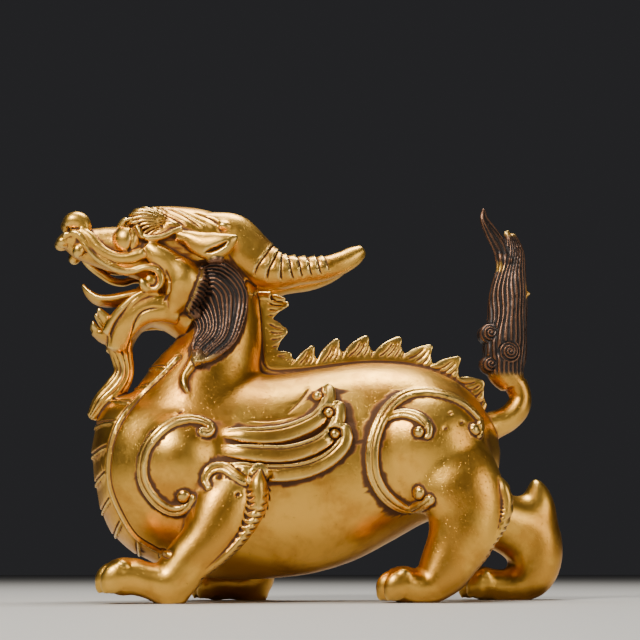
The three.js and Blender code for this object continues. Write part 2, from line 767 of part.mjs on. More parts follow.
function wholeBeast() {
  const body = bareBody();
  const skin = skinReader(body);
  const head = bothSides.flatMap((side) => [cheek(side), lips(side), eyeAndBrow(side), ear(side), horn(side)]);
  const flanks = bothSides.flatMap((side) => {
    const shoulderShift = side === left ? 0 : rightShoulderShift;
    const haunchShift = side === left ? 0 : rightHaunchShift;
    return [
      wing(skin, side),
      shoulderScroll(skin, side, shoulderShift),
      ...haunchScrolls(skin, side, haunchShift),
      ...mane(skin, side),
    ];
  });
  const forelegFringe = [[-20.6, 42], [-19.2, 36], [-20.4, 29], [-24.6, 21], [-30.4, 14], [-37, 7.6], [-43, 2.4]];
  const hindLegFringe = [[62, 40.4], [64.4, 35.4], [63.6, 28], [59, 19.6], [53, 11.6], [47, 4.8], [42, 1]];
  const whole = joined([
    body,
    upperJaw(),
    lowerJaw(),
    tongue(),
    beard(),
    crest(),
    tail(),
    ...head,
    ...flanks,
    fringe(left, stanceHalfWidth, forelegFringe),
    fringe(left, hindStanceHalfWidth, hindLegFringe),
    ...chestPlates(body),
    elbowScroll(skin, left, 0),
  ]);
  const groundDepth = 20;
  const ground = withoutSeams(new THREE.BoxGeometry(300, 200, groundDepth));
  ground.translate(0, 0, partOrigin[2] - groundDepth / 2);
  return whole.subtract(solidOf(ground));
}

// Turns the head about the neck's upright line, more and more from the chest up.
function turnHead(geometry) {
  const position = geometry.attributes.position;
  for (let i = 0; i < position.count; i++) {
    const angle = headTurn * smoothStep(headTurnFrom, headTurnTo, position.getZ(i)) * frontShare(position.getX(i));
    const dx = position.getX(i) - neckAxisX;
    const dy = position.getY(i);
    position.setX(i, neckAxisX + dx * Math.cos(angle) - dy * Math.sin(angle));
    position.setY(i, dx * Math.sin(angle) + dy * Math.cos(angle));
  }
}

// The tail is as high as the head but stays straight.
const frontShare = (x) => 1 - smoothStep(30, 55, x);

const beastGeometry = geometryOf(wholeBeast());
turnHead(beastGeometry);
beastGeometry.translate(...partOrigin.map((value) => -value));
beastGeometry.scale(modelScale, modelScale, modelScale);
beastGeometry.computeVertexNormals();

const gilding = new THREE.MeshStandardMaterial({ color: 0xc99a3f, roughness: 0.34, metalness: 1 });
const beast = new THREE.Mesh(beastGeometry, gilding);
beast.name = "mythical_beast";

const part = new THREE.Group();
part.name = "gilt_bronze_mythical_beast";
part.add(beast);

export default part;
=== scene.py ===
import math

import bpy
import numpy as np
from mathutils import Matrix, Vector
from mathutils.bvhtree import BVHTree


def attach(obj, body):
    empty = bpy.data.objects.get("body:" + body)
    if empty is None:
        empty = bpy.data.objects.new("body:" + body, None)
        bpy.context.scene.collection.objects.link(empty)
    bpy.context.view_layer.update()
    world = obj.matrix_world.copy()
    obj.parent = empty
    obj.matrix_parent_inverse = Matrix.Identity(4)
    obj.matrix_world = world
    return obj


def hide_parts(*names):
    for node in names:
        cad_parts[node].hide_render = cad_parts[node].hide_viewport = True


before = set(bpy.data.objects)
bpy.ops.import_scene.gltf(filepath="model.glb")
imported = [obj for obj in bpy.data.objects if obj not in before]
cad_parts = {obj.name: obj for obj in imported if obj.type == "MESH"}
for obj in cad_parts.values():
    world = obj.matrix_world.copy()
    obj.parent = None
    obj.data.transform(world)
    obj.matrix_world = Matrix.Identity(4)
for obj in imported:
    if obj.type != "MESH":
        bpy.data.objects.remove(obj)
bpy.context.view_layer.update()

# The beast is laid out straight, in millimetres, facing -X with its left flank on the -Y side.
# When it is whole, the head is turned and all is brought to metres and to the frame's origin.
left, right = -1, 1
layout = {
    "chest half width": 27.5,
    "waist half width": 24.5,
    "fore stance": 27,  # from the middle to the middle of a fore paw
    "hind stance": 23,
    "head turn": math.radians(8),
    "turned from": 70,  # height where the neck starts to turn
    "turned at": 112,
    "neck axis x": -36,
    "straight from": (30, 55),  # the tail is as high as the head but stays straight
    "left paw lift": 2.6,
    "right shoulder shift": 6,  # the right legs stand further back
    "right haunch shift": 9,
    "origin": (4.38, 0, -2.2),  # of the frame, in the layout
    "metre": 0.001,
}
shoulderShift = {left: 0, right: layout["right shoulder shift"]}
haunchShift = {left: 0, right: layout["right haunch shift"]}


# Meshes

def pointsOf(piece):
    flat = np.empty(3 * len(piece.data.vertices), np.float32)
    piece.data.vertices.foreach_get("co", flat)
    return flat.reshape(-1, 3).astype(float)


def normalsOf(piece):
    flat = np.empty(3 * len(piece.data.vertices), np.float32)
    piece.data.vertex_normals.foreach_get("vector", flat)
    return flat.reshape(-1, 3).astype(float)


def setPoints(piece, points):
    piece.data.vertices.foreach_set("co", points.astype(np.float32).ravel())
    piece.data.update()


def selectOnly(pieces):
    bpy.ops.object.select_all(action="DESELECT")
    for piece in pieces:
        piece.select_set(True)
    bpy.context.view_layer.objects.active = pieces[0]


def joined(pieces, name):
    selectOnly(pieces)
    bpy.ops.object.join()
    whole = bpy.context.object
    whole.name = name
    whole.data.name = name
    return whole


def applied(piece, kind, **settings):
    selectOnly([piece])
    modifier = piece.modifiers.new("shape", kind)
    for key, value in settings.items():
        setattr(modifier, key, value)
    bpy.ops.object.modifier_apply(modifier=modifier.name)


def unit(vectors):
    return vectors / np.maximum(np.linalg.norm(vectors, axis=-1, keepdims=True), 1e-9)


def smoothStep(low, high, value):
    t = np.clip((value - low) / (high - low), 0, 1)
    return t * t * (3 - 2 * t)


# A smooth line through points of any number of values, read at shares 0 to 1 of its way
def curveAt(points, t):
    points = np.asarray(points, float)
    steps = np.linalg.norm(np.diff(points[:, :3], axis=0), axis=1) ** 0.5
    knots = np.concatenate([[0], np.cumsum(steps)])
    slopes = np.gradient(points, knots, axis=0)
    at = np.asarray(t, float) * knots[-1]
    i = np.clip(np.searchsorted(knots, at, side="right") - 1, 0, len(knots) - 2)
    span = (knots[i + 1] - knots[i])[:, None]
    s = (at - knots[i])[:, None] / span
    start, end, leave, arrive = points[i], points[i + 1], slopes[i], slopes[i + 1]
    value = (1 + 2 * s) * (1 - s) ** 2 * start + s * s * (3 - 2 * s) * end
    value += s * (1 - s) * ((1 - s) * leave - s * arrive) * span
    slope = 6 * s * (1 - s) * (end - start) / span + (1 - s) * (1 - 3 * s) * leave + s * (3 * s - 2) * arrive
    return value, slope


def smoothLine(points, spacing=0.8):  # the same line as even short steps
    rough = curveAt(points, np.linspace(0, 1, 200))[0]
    length = np.concatenate([[0], np.cumsum(np.linalg.norm(np.diff(rough, axis=0), axis=1))])
    stops = np.linspace(0, length[-1], max(3, int(length[-1] / spacing) + 1))
    return np.stack([np.interp(stops, length, column) for column in rough.T], axis=1)


# A closed body over elliptical sections. A station is x, y, z, the radius in the upright plane of the
# line and the radius across it. The rings of a sphere are laid along the smooth line through them.
def limb(stations, side=1, sides=24, rings=0, dome=0.45, facing=None):
    rings = rings or 5 * len(stations)
    bpy.ops.mesh.primitive_uv_sphere_add(segments=sides, ring_count=rings + 1, radius=1)
    piece = bpy.context.object
    ball = pointsOf(piece)
    ring = np.arccos(np.clip(ball[:, 2], -1, 1)) / math.pi * (rings + 1)
    value, slope = curveAt(stations, np.clip((ring - 1) / (rings - 1), 0, 1))
    along = unit(slope[:, :3]) if facing is None else np.tile(np.array(facing, float), (len(ball), 1))
    across = unit(np.array([0, 1, 0]) - along * along[:, 1:2])
    upwards = np.cross(across, along)
    angle = np.arctan2(ball[:, 1], ball[:, 0])
    isPole = np.abs(ball[:, 2]) > 1 - 1e-6
    skin = upwards * (value[:, 3] * np.cos(angle))[:, None] + across * (value[:, 4] * np.sin(angle))[:, None]
    cap = along * (-np.sign(ball[:, 2]) * dome * value[:, 3:5].min(axis=1))[:, None]
    points = value[:, :3] + np.where(isPole[:, None], cap, skin)
    points[:, 1] *= side
    setPoints(piece, points)
    return piece


def ball(centre, radii, side=1, lean=0, sides=24, rings=16):
    x, y, z = centre
    bpy.ops.mesh.primitive_uv_sphere_add(
        segments=sides, ring_count=rings, radius=1, location=(x, side * y, z),
        rotation=(0, math.radians(lean), 0), scale=radii)
    bpy.ops.object.transform_apply(location=True, rotation=True, scale=True)
    return bpy.context.object


# Body and legs

def torso():
    chest, waist = layout["chest half width"], layout["waist half width"]
    sections = [  # x, lowest, highest, half width
        (-75, 41, 57, 0.22 * chest), (-72.6, 29.6, 63.6, 0.46 * chest), (-69, 21.8, 67, 0.66 * chest),
        (-63, 15.8, 69, 0.84 * chest), (-55, 11.4, 71.6, 0.96 * chest), (-44, 7.4, 75, chest),
        (-30, 5.4, 76.4, chest), (-14, 5.6, 76.2, 0.97 * chest), (2, 7.6, 78.6, 0.99 * waist),
        (16, 12, 81, waist), (29, 18.6, 81.4, waist), (41, 25, 79.6, 0.96 * waist),
        (52, 28.4, 75, 0.84 * waist), (60, 32.6, 68.4, 0.66 * waist), (66.6, 41, 57, 0.34 * waist)]
    stations = [(x, 0, (low + high) / 2, (high - low) / 2, wide) for x, low, high, wide in sections]
    return limb(stations, sides=64, rings=60, dome=0.2, facing=(1, 0, 0))


def neck():
    sections = [  # height, front, back, half width
        (54, -70.6, -10, 25), (62, -67, -14, 22.6), (69, -62.2, -17.4, 20), (75, -58.4, -18.4, 17.8),
        (81, -54.4, -17.8, 15.8), (87, -48.4, -17.2, 14), (93, -44.4, -17.4, 12.8), (101, -43.6, -18.2, 12),
        (110, -44, -19.6, 11.6), (118, -45, -22, 11)]
    stations = [((front + back) / 2, 0, z, (back - front) / 2, wide) for z, front, back, wide in sections]
    return limb(stations, sides=48, rings=40, dome=0.1, facing=(0, 0, 1))


def foreleg(side, shoulderX, heelX, lift):
    stance = layout["fore stance"]
    reach = shoulderX - heelX
    stations = [
        (shoulderX - 2.4, stance - 6.4, 39, 9.8, 7.6), (shoulderX + 1, stance - 3, 33, 11.4, 8.4),
        (shoulderX - 0.1 * reach, stance - 1, 26.5, 10.6, 8), (shoulderX - 0.34 * reach, stance, 18, 8.6, 7.4),
        (shoulderX - 0.62 * reach, stance, 11.6, 8, 7.2), (shoulderX - 0.92 * reach, stance, 4.4, 7.4, 7.2),
        (heelX - 5, stance, 3.6 + 0.6 * lift, 5.8, 7), (heelX - 11, stance, 4.2 + lift, 6, 7.4)]
    return [limb(stations, side), ball((shoulderX - 0.9 * reach, stance, -0.2), (6, 5.4, 3.6), side)]


def leftHindLeg():
    stance = layout["hind stance"]
    return limb([
        (43, stance - 6, 44, 18, 11), (47.5, stance - 2, 36.6, 16.2, 10.8), (50.2, stance - 1, 29, 14.4, 10),
        (48.6, stance, 20.5, 12, 9), (45, stance, 13.4, 10, 8), (40.6, stance, 6.8, 8.4, 7.5),
        (36, stance, 3, 6.2, 7), (29.5, stance, 3.4, 6, 7.4)], left)


def rightHindLeg():
    stance = layout["hind stance"]
    leg = limb([
        (53, stance - 7, 40, 14, 11), (64, stance - 3, 31, 11, 10.8), (74.6, stance - 1, 26, 10.8, 10),
        (84, stance, 22, 12.4, 9), (86.4, stance, 14.6, 11.2, 8.4), (84.4, stance, 7.2, 9.6, 8),
        (78, stance, 3, 6.6, 7.4), (70, stance, 3, 6, 7.4)], right)
    hock = limb([(86, stance, 22, 9.6, 7.6), (88.2, stance, 30, 8, 6.8), (88.6, stance, 36, 5.6, 5.4),
                 (88, stance, 40.4, 3.2, 3.4), (87.2, stance, 42.6, 1.2, 2)], right)
    return [leg, hock]


def pawPad(side, toeX, stance, lift=0):
    return ball((toeX + 8.6, stance, 3.8 + lift), (6.6, 7.8, 6.2), side)


# Three curled toes, each with a claw below its knuckle, seen as separate knuckles from the front
def toes(side, toeX, stance, lift=0):
    parts = []
    for toe in (-1, 0, 1):
        across = 5 * toe
        setBack = 0.07 * across * across
        y = stance + across
        parts.append(ball((toeX + 4 + setBack, y, 3.4 + lift), (4.4, 2.7, 5.2), side, lean=32))
        parts.append(ball((toeX + 6.4 + setBack, y, 7 + lift), (2.9, 2.3, 2.2), side, lean=20))
        parts.append(limb([(toeX + 2 + setBack, y, 2.6 + lift, 1.7, 1.4), (toeX + 0.6 + setBack, y, 0.8 + lift, 1.2, 1),
                           (toeX + 1 + setBack, y, -1.4 + lift, 0.5, 0.5)], side, sides=12))
    return parts


def softBody():
    fore, hind, lift = layout["fore stance"], layout["hind stance"], layout["left paw lift"]
    parts = [torso(), neck(), leftHindLeg(), *rightHindLeg()]
    parts += foreleg(left, -31, -51, lift) + foreleg(right, -17, -17.5, 0)
    for side in (left, right):
        parts.append(ball((-46.6 + shoulderShift[side], 15.5, 44.5), (16.8, 15.5, 17.6), side, sides=48, rings=32))
        parts.append(ball((39 + haunchShift[side], 11.5, 50.5), (22, 18, 21.5), side, sides=48, rings=32))
    parts += [pawPad(left, -72.6, fore, lift), pawPad(right, -39, fore), pawPad(left, 19.6, hind),
              pawPad(right, 58.5, hind)]
    parts.append(limb([(-65, 0, 122.5, 7.5, 7.5), (-59, 0, 123.2, 11, 10.5), (-48, 0, 122.6, 13, 12),
                       (-38, 0, 121, 13.4, 12), (-30, 0, 118, 11.5, 11)]))
    body = joined(parts, "body")
    applied(body, "REMESH", mode="VOXEL", voxel_size=0.8)
    applied(body, "SMOOTH", factor=0.5, iterations=10)
    height = pointsOf(body)[:, 2]
    blend = body.vertex_groups.new(name="blend")  # the legs grow softly out of the trunk, the paws stay crisp
    share = smoothStep(14, 30, height) * (1 - smoothStep(96, 108, height))
    for step in range(1, 11):
        blend.add(np.flatnonzero((share > (step - 0.5) / 10) & (share <= (step + 0.5) / 10)).tolist(), step / 10, "REPLACE")
    applied(body, "SMOOTH", factor=0.5, iterations=60, vertex_group="blend")
    return body


# Head

crownLocks = [(-62.6, 133.4, -46.4, 126.8), (-56.4, 134.2, -41.4, 126), (-50, 133.8, -37.4, 126.2),
              (-44, 133, -34, 127.2)]  # from where to where, over the crown


def jaws():
    upper = limb([(-56, 0, 117, 9.5, 11), (-64, 0, 118.4, 8.6, 9.8), (-72, 0, 119, 7.6, 8.2),
                  (-79, 0, 119.6, 6, 7), (-85, 0, 121, 4.4, 6.2), (-89, 0, 121, 1.6, 4)])
    lower = limb([(-43, 0, 93.4, 6.4, 9.6), (-50, 0, 97.4, 6.4, 10.4), (-57, 0, 97.4, 5.4, 10.2),
                  (-62, 0, 94, 4.6, 9.2), (-65.8, 0, 88.6, 4.4, 7.8), (-67, 0, 82.6, 4, 6)])
    lip = limb([(-66, 0, 91, 3, 7), (-71.4, 0, 88.4, 2.8, 6.4), (-76.6, 0, 89.6, 0.9, 2.6)])
    tongue = limb([(-54, 0, 103.4, 3, 7), (-60, 0, 102.8, 2.8, 7.4), (-66, 0, 101.6, 2.4, 7), (-71, 0, 100.6, 2.1, 6.2),
                   (-75.4, 0, 100.9, 1.7, 5), (-78.6, 0, 103, 1.2, 3.2), (-80.8, 0, 105.8, 0.5, 1)], rings=44)
    beard = limb([(-67.4, 0, 87, 4.8, 6.4), (-66, 0, 81, 3.8, 4.8), (-65.4, 0, 76, 3.6, 4.4),
                  (-68.4, 0, 70, 4.2, 5), (-72.6, 0, 65, 3.8, 5), (-76.2, 0, 60.4, 1.8, 3)])
    return [upper, lower, lip, tongue, beard]


def cheek(side):
    return limb([(-60, 9.6, 118.6, 2.8, 2.6), (-56.6, 10.4, 115.6, 4, 3.6), (-52, 10.8, 112.4, 4.6, 4),
                 (-47.4, 10.8, 107.4, 6.6, 5.6), (-48, 10, 101.6, 5.8, 4.6), (-50.4, 8.8, 96.4, 2.6, 2.6)], side)


def faceForms(side):
    parts = [cheek(side)]
    parts.append(limb([  # nostril: a comma that curls round its hollow
        (-86.8, 3.2, 125.4, 2.4, 2.6), (-85, 3.8, 127, 3.2, 3.2), (-82.6, 4.4, 126.6, 3.4, 3), (-81.4, 5, 124, 2.6, 2.4),
        (-82.8, 5.4, 121.8, 1.7, 1.9), (-85, 5.2, 121, 1.2, 1.6)], side, rings=40))
    parts.append(ball((-88.2, 2.4, 119.8), (2.3, 2.5, 2.1), side))  # front of the lip
    parts.append(limb([  # wavy lip that curls round the corner of the mouth
        (-88, 4.4, 121.6, 1.1, 1.3), (-85.6, 5.8, 122.6, 1.2, 1.3), (-83.2, 6.8, 121.6, 1.3, 1.4),
        (-80.6, 7.4, 118, 1.3, 1.4), (-77.6, 8, 114.4, 1.3, 1.4), (-73.4, 8.8, 111.6, 1.4, 1.5),
        (-69.4, 9.6, 109.6, 1.4, 1.5), (-65.4, 10.4, 109.2, 1.4, 1.5), (-61, 11.2, 110.7, 1.35, 1.5),
        (-57.7, 11.8, 110.4, 1.3, 1.5), (-55.7, 12.2, 108.2, 1.25, 1.5), (-55.4, 12.2, 105.6, 1.2, 1.4),
        (-56.8, 12, 103.4, 1, 1.3), (-58.6, 11.8, 103.2, 0.7, 1)], side, sides=16, rings=56))
    parts.append(limb([  # fold above it
        (-82.8, 6.2, 123.6, 1.3, 1.3), (-79.6, 7.2, 121.2, 1.9, 1.6), (-76.8, 8, 117.6, 2, 1.7),
        (-73.6, 8.8, 115.2, 1.9, 1.7), (-69.6, 9.6, 113.8, 2, 1.8), (-65.4, 10.2, 114.2, 2.3, 1.9),
        (-61.4, 10.6, 116, 2.2, 1.9)], side, sides=16, rings=36))
    parts.append(ball((-83, 6, 116.4), (2.2, 1.9, 2.6), side, lean=10))  # upper tusk
    parts.append(ball((-60.6, 11.2, 104.4), (1.7, 1.5, 3), side, lean=-38))  # tooth at the mouth's corner
    parts.append(ball((-58.6, 10.6, 106.2), (2.2, 1.5, 2.4), side, lean=-30))
    parts.append(ball((-66.8, 7.8, 120.6), (4.9, 4, 4.9), side))  # eye
    parts.append(limb([  # edge of the brow
        (-69.4, 6.4, 125.4, 1.2, 1.5), (-67.4, 8, 127.6, 1.2, 1.5), (-64.8, 9.2, 126.6, 1.2, 1.5),
        (-63.2, 10.2, 123.8, 1.1, 1.4), (-61.8, 10.9, 121.6, 1.1, 1.4), (-58.8, 11.6, 121, 1.1, 1.4),
        (-55, 12, 121.8, 1.1, 1.4), (-51.6, 12.4, 123.6, 1, 1.3), (-48.6, 12.6, 125, 0.8, 1)], side, sides=14, rings=44))
    parts.append(ball((-58.8, 6.6, 127.8), (8, 5, 5.4), side, lean=10))  # tuft of the brow
    parts.append(ball((-51, 9.6, 126.4), (3, 2.4, 1.7), side, lean=12))  # the bud that closes it
    for topX, topZ, footX, footZ in crownLocks:  # locks laid back over the crown
        way = np.array([footX - topX, footZ - topZ])
        parts.append(limb([
            (topX - 0.5, 1.6, topZ - 3.4, 1.6, 2), (topX + 0.3 * way[0], 3.4, topZ + 0.12 * way[1] - 2.6, 2.7, 2.6),
            (topX + 0.66 * way[0], 7, topZ + 0.6 * way[1] - 1.2, 2.7, 2.4), (footX, 9.8, footZ, 2, 1.8),
            (footX + 0.2 * way[0], 10.6, footZ + 0.3 * way[1], 0.8, 0.9)], side, sides=20, rings=30))
    parts.append(ball((-33, 10.4, 127), (3, 2.4, 2), side, lean=14))  # bud at the root of the horn
    parts.append(limb([  # side of the lower jaw
        (-48, 8.4, 97, 5, 2.6), (-54, 8.8, 97.8, 5.2, 2.6), (-59.6, 8.6, 96.6, 5, 2.6), (-64.4, 7.6, 92.8, 4.5, 2.6),
        (-67.2, 6.2, 88, 4, 2.5), (-68.4, 5, 83.4, 3.4, 2.4)], side))
    parts.append(limb([  # rim of the lower jaw
        (-56, 9.8, 102.6, 1.4, 1.6), (-61.4, 9.6, 101.4, 1.6, 1.7), (-65.6, 8.8, 98, 2, 1.9),
        (-69, 7.4, 93.6, 2.4, 2), (-71.6, 5.6, 88.6, 2.4, 2)], side, sides=16))
    parts.append(limb([(-70.8, 5.2, 92, 2.2, 1.8), (-73.2, 5.3, 94.4, 1.7, 1.5), (-75.4, 5.3, 96.8, 0.8, 0.7)],
                      side, sides=14))  # lower fangs
    parts.append(limb([(-74.4, 2.4, 89.6, 1.4, 1.3), (-76.2, 2.6, 91.4, 1.2, 1.1), (-76.8, 2.6, 93.2, 0.5, 0.5)],
                      side, sides=12))
    parts.append(limb([  # ear
        (-49.6, 10.8, 122.2, 2, 2.4), (-46.4, 12.2, 121.6, 2.8, 3), (-43, 13.8, 119.8, 4.2, 3.2),
        (-39.4, 15.4, 118.6, 4.9, 3.2), (-36, 16.8, 118.8, 4.5, 2.8), (-33, 17.8, 120.2, 3, 2.2),
        (-30.4, 18.6, 121.8, 0.8, 0.9)], side, sides=28, rings=40))
    return parts


def horn(side):
    y = 8.5  # from the middle to the horn's line
    return limb([
        (-42, y - 4, 127, 5, 4.4), (-35.6, y - 3, 127.2, 6, 5.2), (-29.6, y - 2, 125, 8, 6.2),
        (-23, y - 1, 118, 8.6, 6.4), (-14.4, y, 112.6, 6.8, 5.8), (-5.4, y + 0.4, 113.1, 5.1, 5),
        (3, y + 0.7, 114.2, 4.4, 4.4), (10, y + 0.9, 116.8, 4, 3.9), (15, y + 1, 119.8, 3.4, 3.2),
        (17.8, y + 1, 121.8, 2.2, 2.2)], side, sides=32, rings=70)


# Crest: an upright plate along neck and back, its free edge cut into leaning teeth

crestForm = {
    "thickness": 3,
    "top": (-13.2, 105.8),
    "teeth": [  # where each tooth ends, and the notch behind it
        (-7.4, 101.6, -13.5, 96.5), (-8.1, 91.5, -12, 84.8), (-6.6, 83.6, -5.4, 81.6), (1.7, 86.8, 2.4, 82),
        (10.9, 89.9, 12, 84.8), (21.8, 91.2, 23.2, 85.2), (34, 91.1, 34.6, 85), (44.6, 87.8, 44.4, 81),
        (54.7, 83.3, 53.7, 76.6), (63, 74.4, 63.6, 66.6)],
    "inside": [(60, 57), (45, 68), (22, 74), (0, 72), (-14, 66), (-24, 68), (-24, 107)],
    "tip width": 2,
    "bulge": 0.11,  # of the long edge of a tooth, as a share of its length
}


def crest():
    outline = [np.array(crestForm["top"], float)]
    for tipX, tipZ, notchX, notchZ in crestForm["teeth"]:
        start, tip, notch = outline[-1], np.array([tipX, tipZ]), np.array([notchX, notchZ])
        rise = tip - start
        length = np.linalg.norm(rise)
        along = rise / length
        outwards = np.array([-along[1], along[0]])
        width = min(crestForm["tip width"], 0.3 * length)
        edge = [start, start + 0.35 * rise + outwards * crestForm["bulge"] * length,
                start + 0.7 * rise + outwards * 1.1 * crestForm["bulge"] * length,
                tip - along * 0.35 * width + outwards * 0.55 * width, tip]
        outline += list(curveAt(np.array(edge), np.linspace(0, 1, 10))[0][1:])
        outline += [tip + 0.5 * (notch - tip) - along * 0.08 * length, notch]
    outline += [np.array(place, float) for place in crestForm["inside"]]
    bpy.ops.mesh.primitive_circle_add(vertices=len(outline), radius=1, fill_type="NGON")
    plate = bpy.context.object
    half = crestForm["thickness"] / 2
    setPoints(plate, np.array([(x, -half, z) for x, z in outline]))
    bpy.ops.object.mode_set(mode="EDIT")
    bpy.ops.mesh.select_all(action="SELECT")
    bpy.ops.mesh.extrude_region_move(TRANSFORM_OT_translate={"value": (0, 2 * half, 0)})
    bpy.ops.mesh.select_all(action="SELECT")
    bpy.ops.mesh.quads_convert_to_tris(ngon_method="CLIP")
    bpy.ops.mesh.normals_make_consistent(inside=False)
    bpy.ops.object.mode_set(mode="OBJECT")
    return plate


# Tail

tailForm = {
    "curls": [  # centre, radii; from the side they are spirals
        ((64.8, 0, 92.6), (3.9, 5.4, 4)), ((64.8, 0, 81.4), (3.5, 5.2, 3.6)), ((71.2, 0, 85.6), (5.4, 7.8, 5.4))],
}


def tail():
    stem = limb([(58, 0, 56, 7, 7.5), (66.2, 0, 59.6, 5.1, 5.4), (71.4, 0, 62, 4.6, 4.8),
                 (75.2, 0, 65.8, 4.4, 4.6), (76.4, 0, 70, 4, 4.2), (74.6, 0, 75, 4.2, 4.6)])
    tuft = limb([(73.6, 0, 74, 4.6, 4.6), (71, 0, 80, 7.2, 6.4), (70.8, 0, 88, 8.2, 6.6), (72, 0, 97, 7.4, 6),
                 (72.9, 0, 106, 7.2, 5.4), (74, 0, 115, 5.8, 4.4), (75, 0, 123, 4, 3.2), (73.8, 0, 129.6, 2, 2)],
                rings=60)
    secondPoint = limb([(72.5, 0, 116, 3.6, 3.2), (70.2, 0, 124, 2.8, 2.6), (66.8, 0, 130, 2.4, 2),
                        (64, 0, 135.4, 1.6, 1.4), (64.2, 0, 139.2, 0.6, 0.6)])
    curls = [ball(centre, radii) for centre, radii in tailForm["curls"]]
    knobs = [ball((69.4, -1, 117), (1, 1, 1)), ball((80, -1, 107.7), (1.1, 1, 1)), ball((72.8, -3.6, 119.6), (1, 1, 1.2)),
             ball((72.8, 0, 130), (1.5, 1.4, 1.4))]
    return [stem, tuft, secondPoint, *curls, *knobs]


# Locks of fur along the backs of the left legs, from the free tip down to the heel

fringeForm = {
    "fore": [(-20.6, 41, 0.9), (-21.4, 36.6, 3.4), (-21.2, 30.6, 3.6), (-23.2, 24.2, 2.8), (-27.7, 17.4, 2.2),
             (-34.1, 11.3, 2), (-40.9, 6.2, 1.8), (-47.2, 1.4, 1.4)],
    "hind": [(60.4, 40, 0.8), (62, 36, 2.8), (63, 30.4, 3.2), (61.8, 25, 2.9), (58.8, 19.8, 2.5),
             (53.4, 13.4, 2.3), (48.6, 7.8, 2), (44.4, 3.4, 1.6)],
}


def fringe(name, side):
    stance = layout["fore stance"] if name == "fore" else layout["hind stance"]
    stations = [(x, stance + 1.2, z, wide, 0.9 * wide + 2) for x, z, wide in fringeForm[name]]
    return limb(stations, side, sides=20, rings=50)


print("body forms")
body = softBody()
bodySkin = BVHTree.FromPolygons(pointsOf(body).tolist(), [tuple(p.vertices) for p in body.data.polygons])


def skinLine(line, side):  # lifts a line of the flank's plane on to the soft body
    lifted = []
    for x, z in line:
        hit = bodySkin.ray_cast((x, side * 200, z), (0, -side, 0))[0]
        lifted.append((x, hit.y if hit else side * 2, z))
    return np.array(lifted)


def lockTip(side):
    line = curveAt([(-41.4, 80), (-43.4, 76), (-45.2, 72.9), (-45.3, 69.8), (-44.1, 67.2)], np.linspace(0, 1, 9))[0]
    lifted = skinLine(line, side)
    widths = np.interp(np.linspace(0, 1, len(line)), [0, 0.4, 0.75, 1], [2.2, 1.6, 1.3, 0.5])
    stations = [(x, abs(y) + 0.2, z, wide, 1.6 * min(1, wide)) for (x, y, z), wide in zip(lifted, widths)]
    return limb(stations, side, sides=14)


print("head, crest and tail")
parts = [body, crest(), *jaws(), *tail()]
for side in (left, right):
    parts += faceForms(side) + [horn(side), lockTip(side)]
parts += toes(left, -72.6, layout["fore stance"], layout["left paw lift"]) + toes(right, -39, layout["fore stance"])
parts += toes(left, 19.6, layout["hind stance"]) + toes(right, 58.5, layout["hind stance"])
parts += [fringe("fore", left), fringe("hind", left)]
beast = joined(parts, "gilt_beast")
fineVoxel = 0.34
applied(beast, "REMESH", mode="VOXEL", voxel_size=fineVoxel)
applied(beast, "SMOOTH", factor=0.5, iterations=3)
print("joined skin", len(beast.data.vertices), "points")


# Carving: every group of forms says how far it lifts or sinks each point along its normal

at = pointsOf(beast)
normal = normalsOf(beast)
flat = at * (1, 0, 1)  # seen from the side
rise = np.zeros(len(at))
dark = np.zeros(len(at))  # 1 where the metal is blackened
flankUp = {left: np.array([0, -1.0, 0]), right: np.array([0, 1.0, 0])}


def near(line, reach, side=0):  # the points within reach of a line's box, on one flank or both
    low, high = line.min(axis=0) - reach, line.max(axis=0) + reach
    keep = np.all((at > low) & (at < high), axis=1)
    if side:
        keep &= at[:, 1] * side > 0
    return np.flatnonzero(keep)


# Of each point: its distance from the line, how far along the line it is, and its distance with the sign
# of the side that it lies on. upwards looks at the line from above.
def measured(points, line, upwards):
    best = np.full(len(points), 1e9)
    along = np.zeros(len(points))
    beside = np.zeros(len(points))
    done = 0
    for start, end in zip(line[:-1], line[1:]):
        way = end - start
        length = np.linalg.norm(way)
        share = np.clip((points - start) @ way / length ** 2, 0, 1)
        gap = points - start - share[:, None] * way
        distance = np.linalg.norm(gap, axis=1)
        closer = distance < best
        best[closer] = distance[closer]
        along[closer] = done + share[closer] * length
        beside[closer] = np.sign(np.sum(np.cross(way, gap) * upwards, axis=1))[closer]
        done += length
    return best, along, beside * best


def inFlat(line, spacing=1.0):  # a line of the flank's plane, as even steps in that plane
    steps = smoothLine(line, spacing)
    return np.stack([steps[:, 0], np.zeros(len(steps)), steps[:, 1]], axis=1)


def isInside(points, outline):  # of a closed outline in the flank's plane
    inside = np.zeros(len(points), bool)
    for (x1, z1), (x2, z2) in zip(outline, np.roll(outline, -1, axis=0)):
        crosses = (z1 > points[:, 2]) != (z2 > points[:, 2])
        if z1 != z2:
            inside ^= crosses & (points[:, 0] < x1 + (points[:, 2] - z1) * (x2 - x1) / (z2 - z1))
    return inside


def ridges(phase, sharpness=1.0):  # 0 in the grooves between ridges, 1 on their rounded backs
    return np.abs(np.sin(math.pi * phase)) ** sharpness


def length(line):
    return np.sum(np.linalg.norm(np.diff(line, axis=0), axis=1))


def onFlank(line, side, spacing=0.8):
    return skinLine(smoothLine(line, spacing), side)


def onBeast(line, side, spacing=0.6):  # the same on the finished forms, head included
    lifted = []
    for x, z in smoothLine(line, spacing):
        isHit, place, _, _ = beast.ray_cast((x, side * 200, z), (0, -side, 0))
        if isHit:
            lifted.append(tuple(place))
    return np.array(lifted)


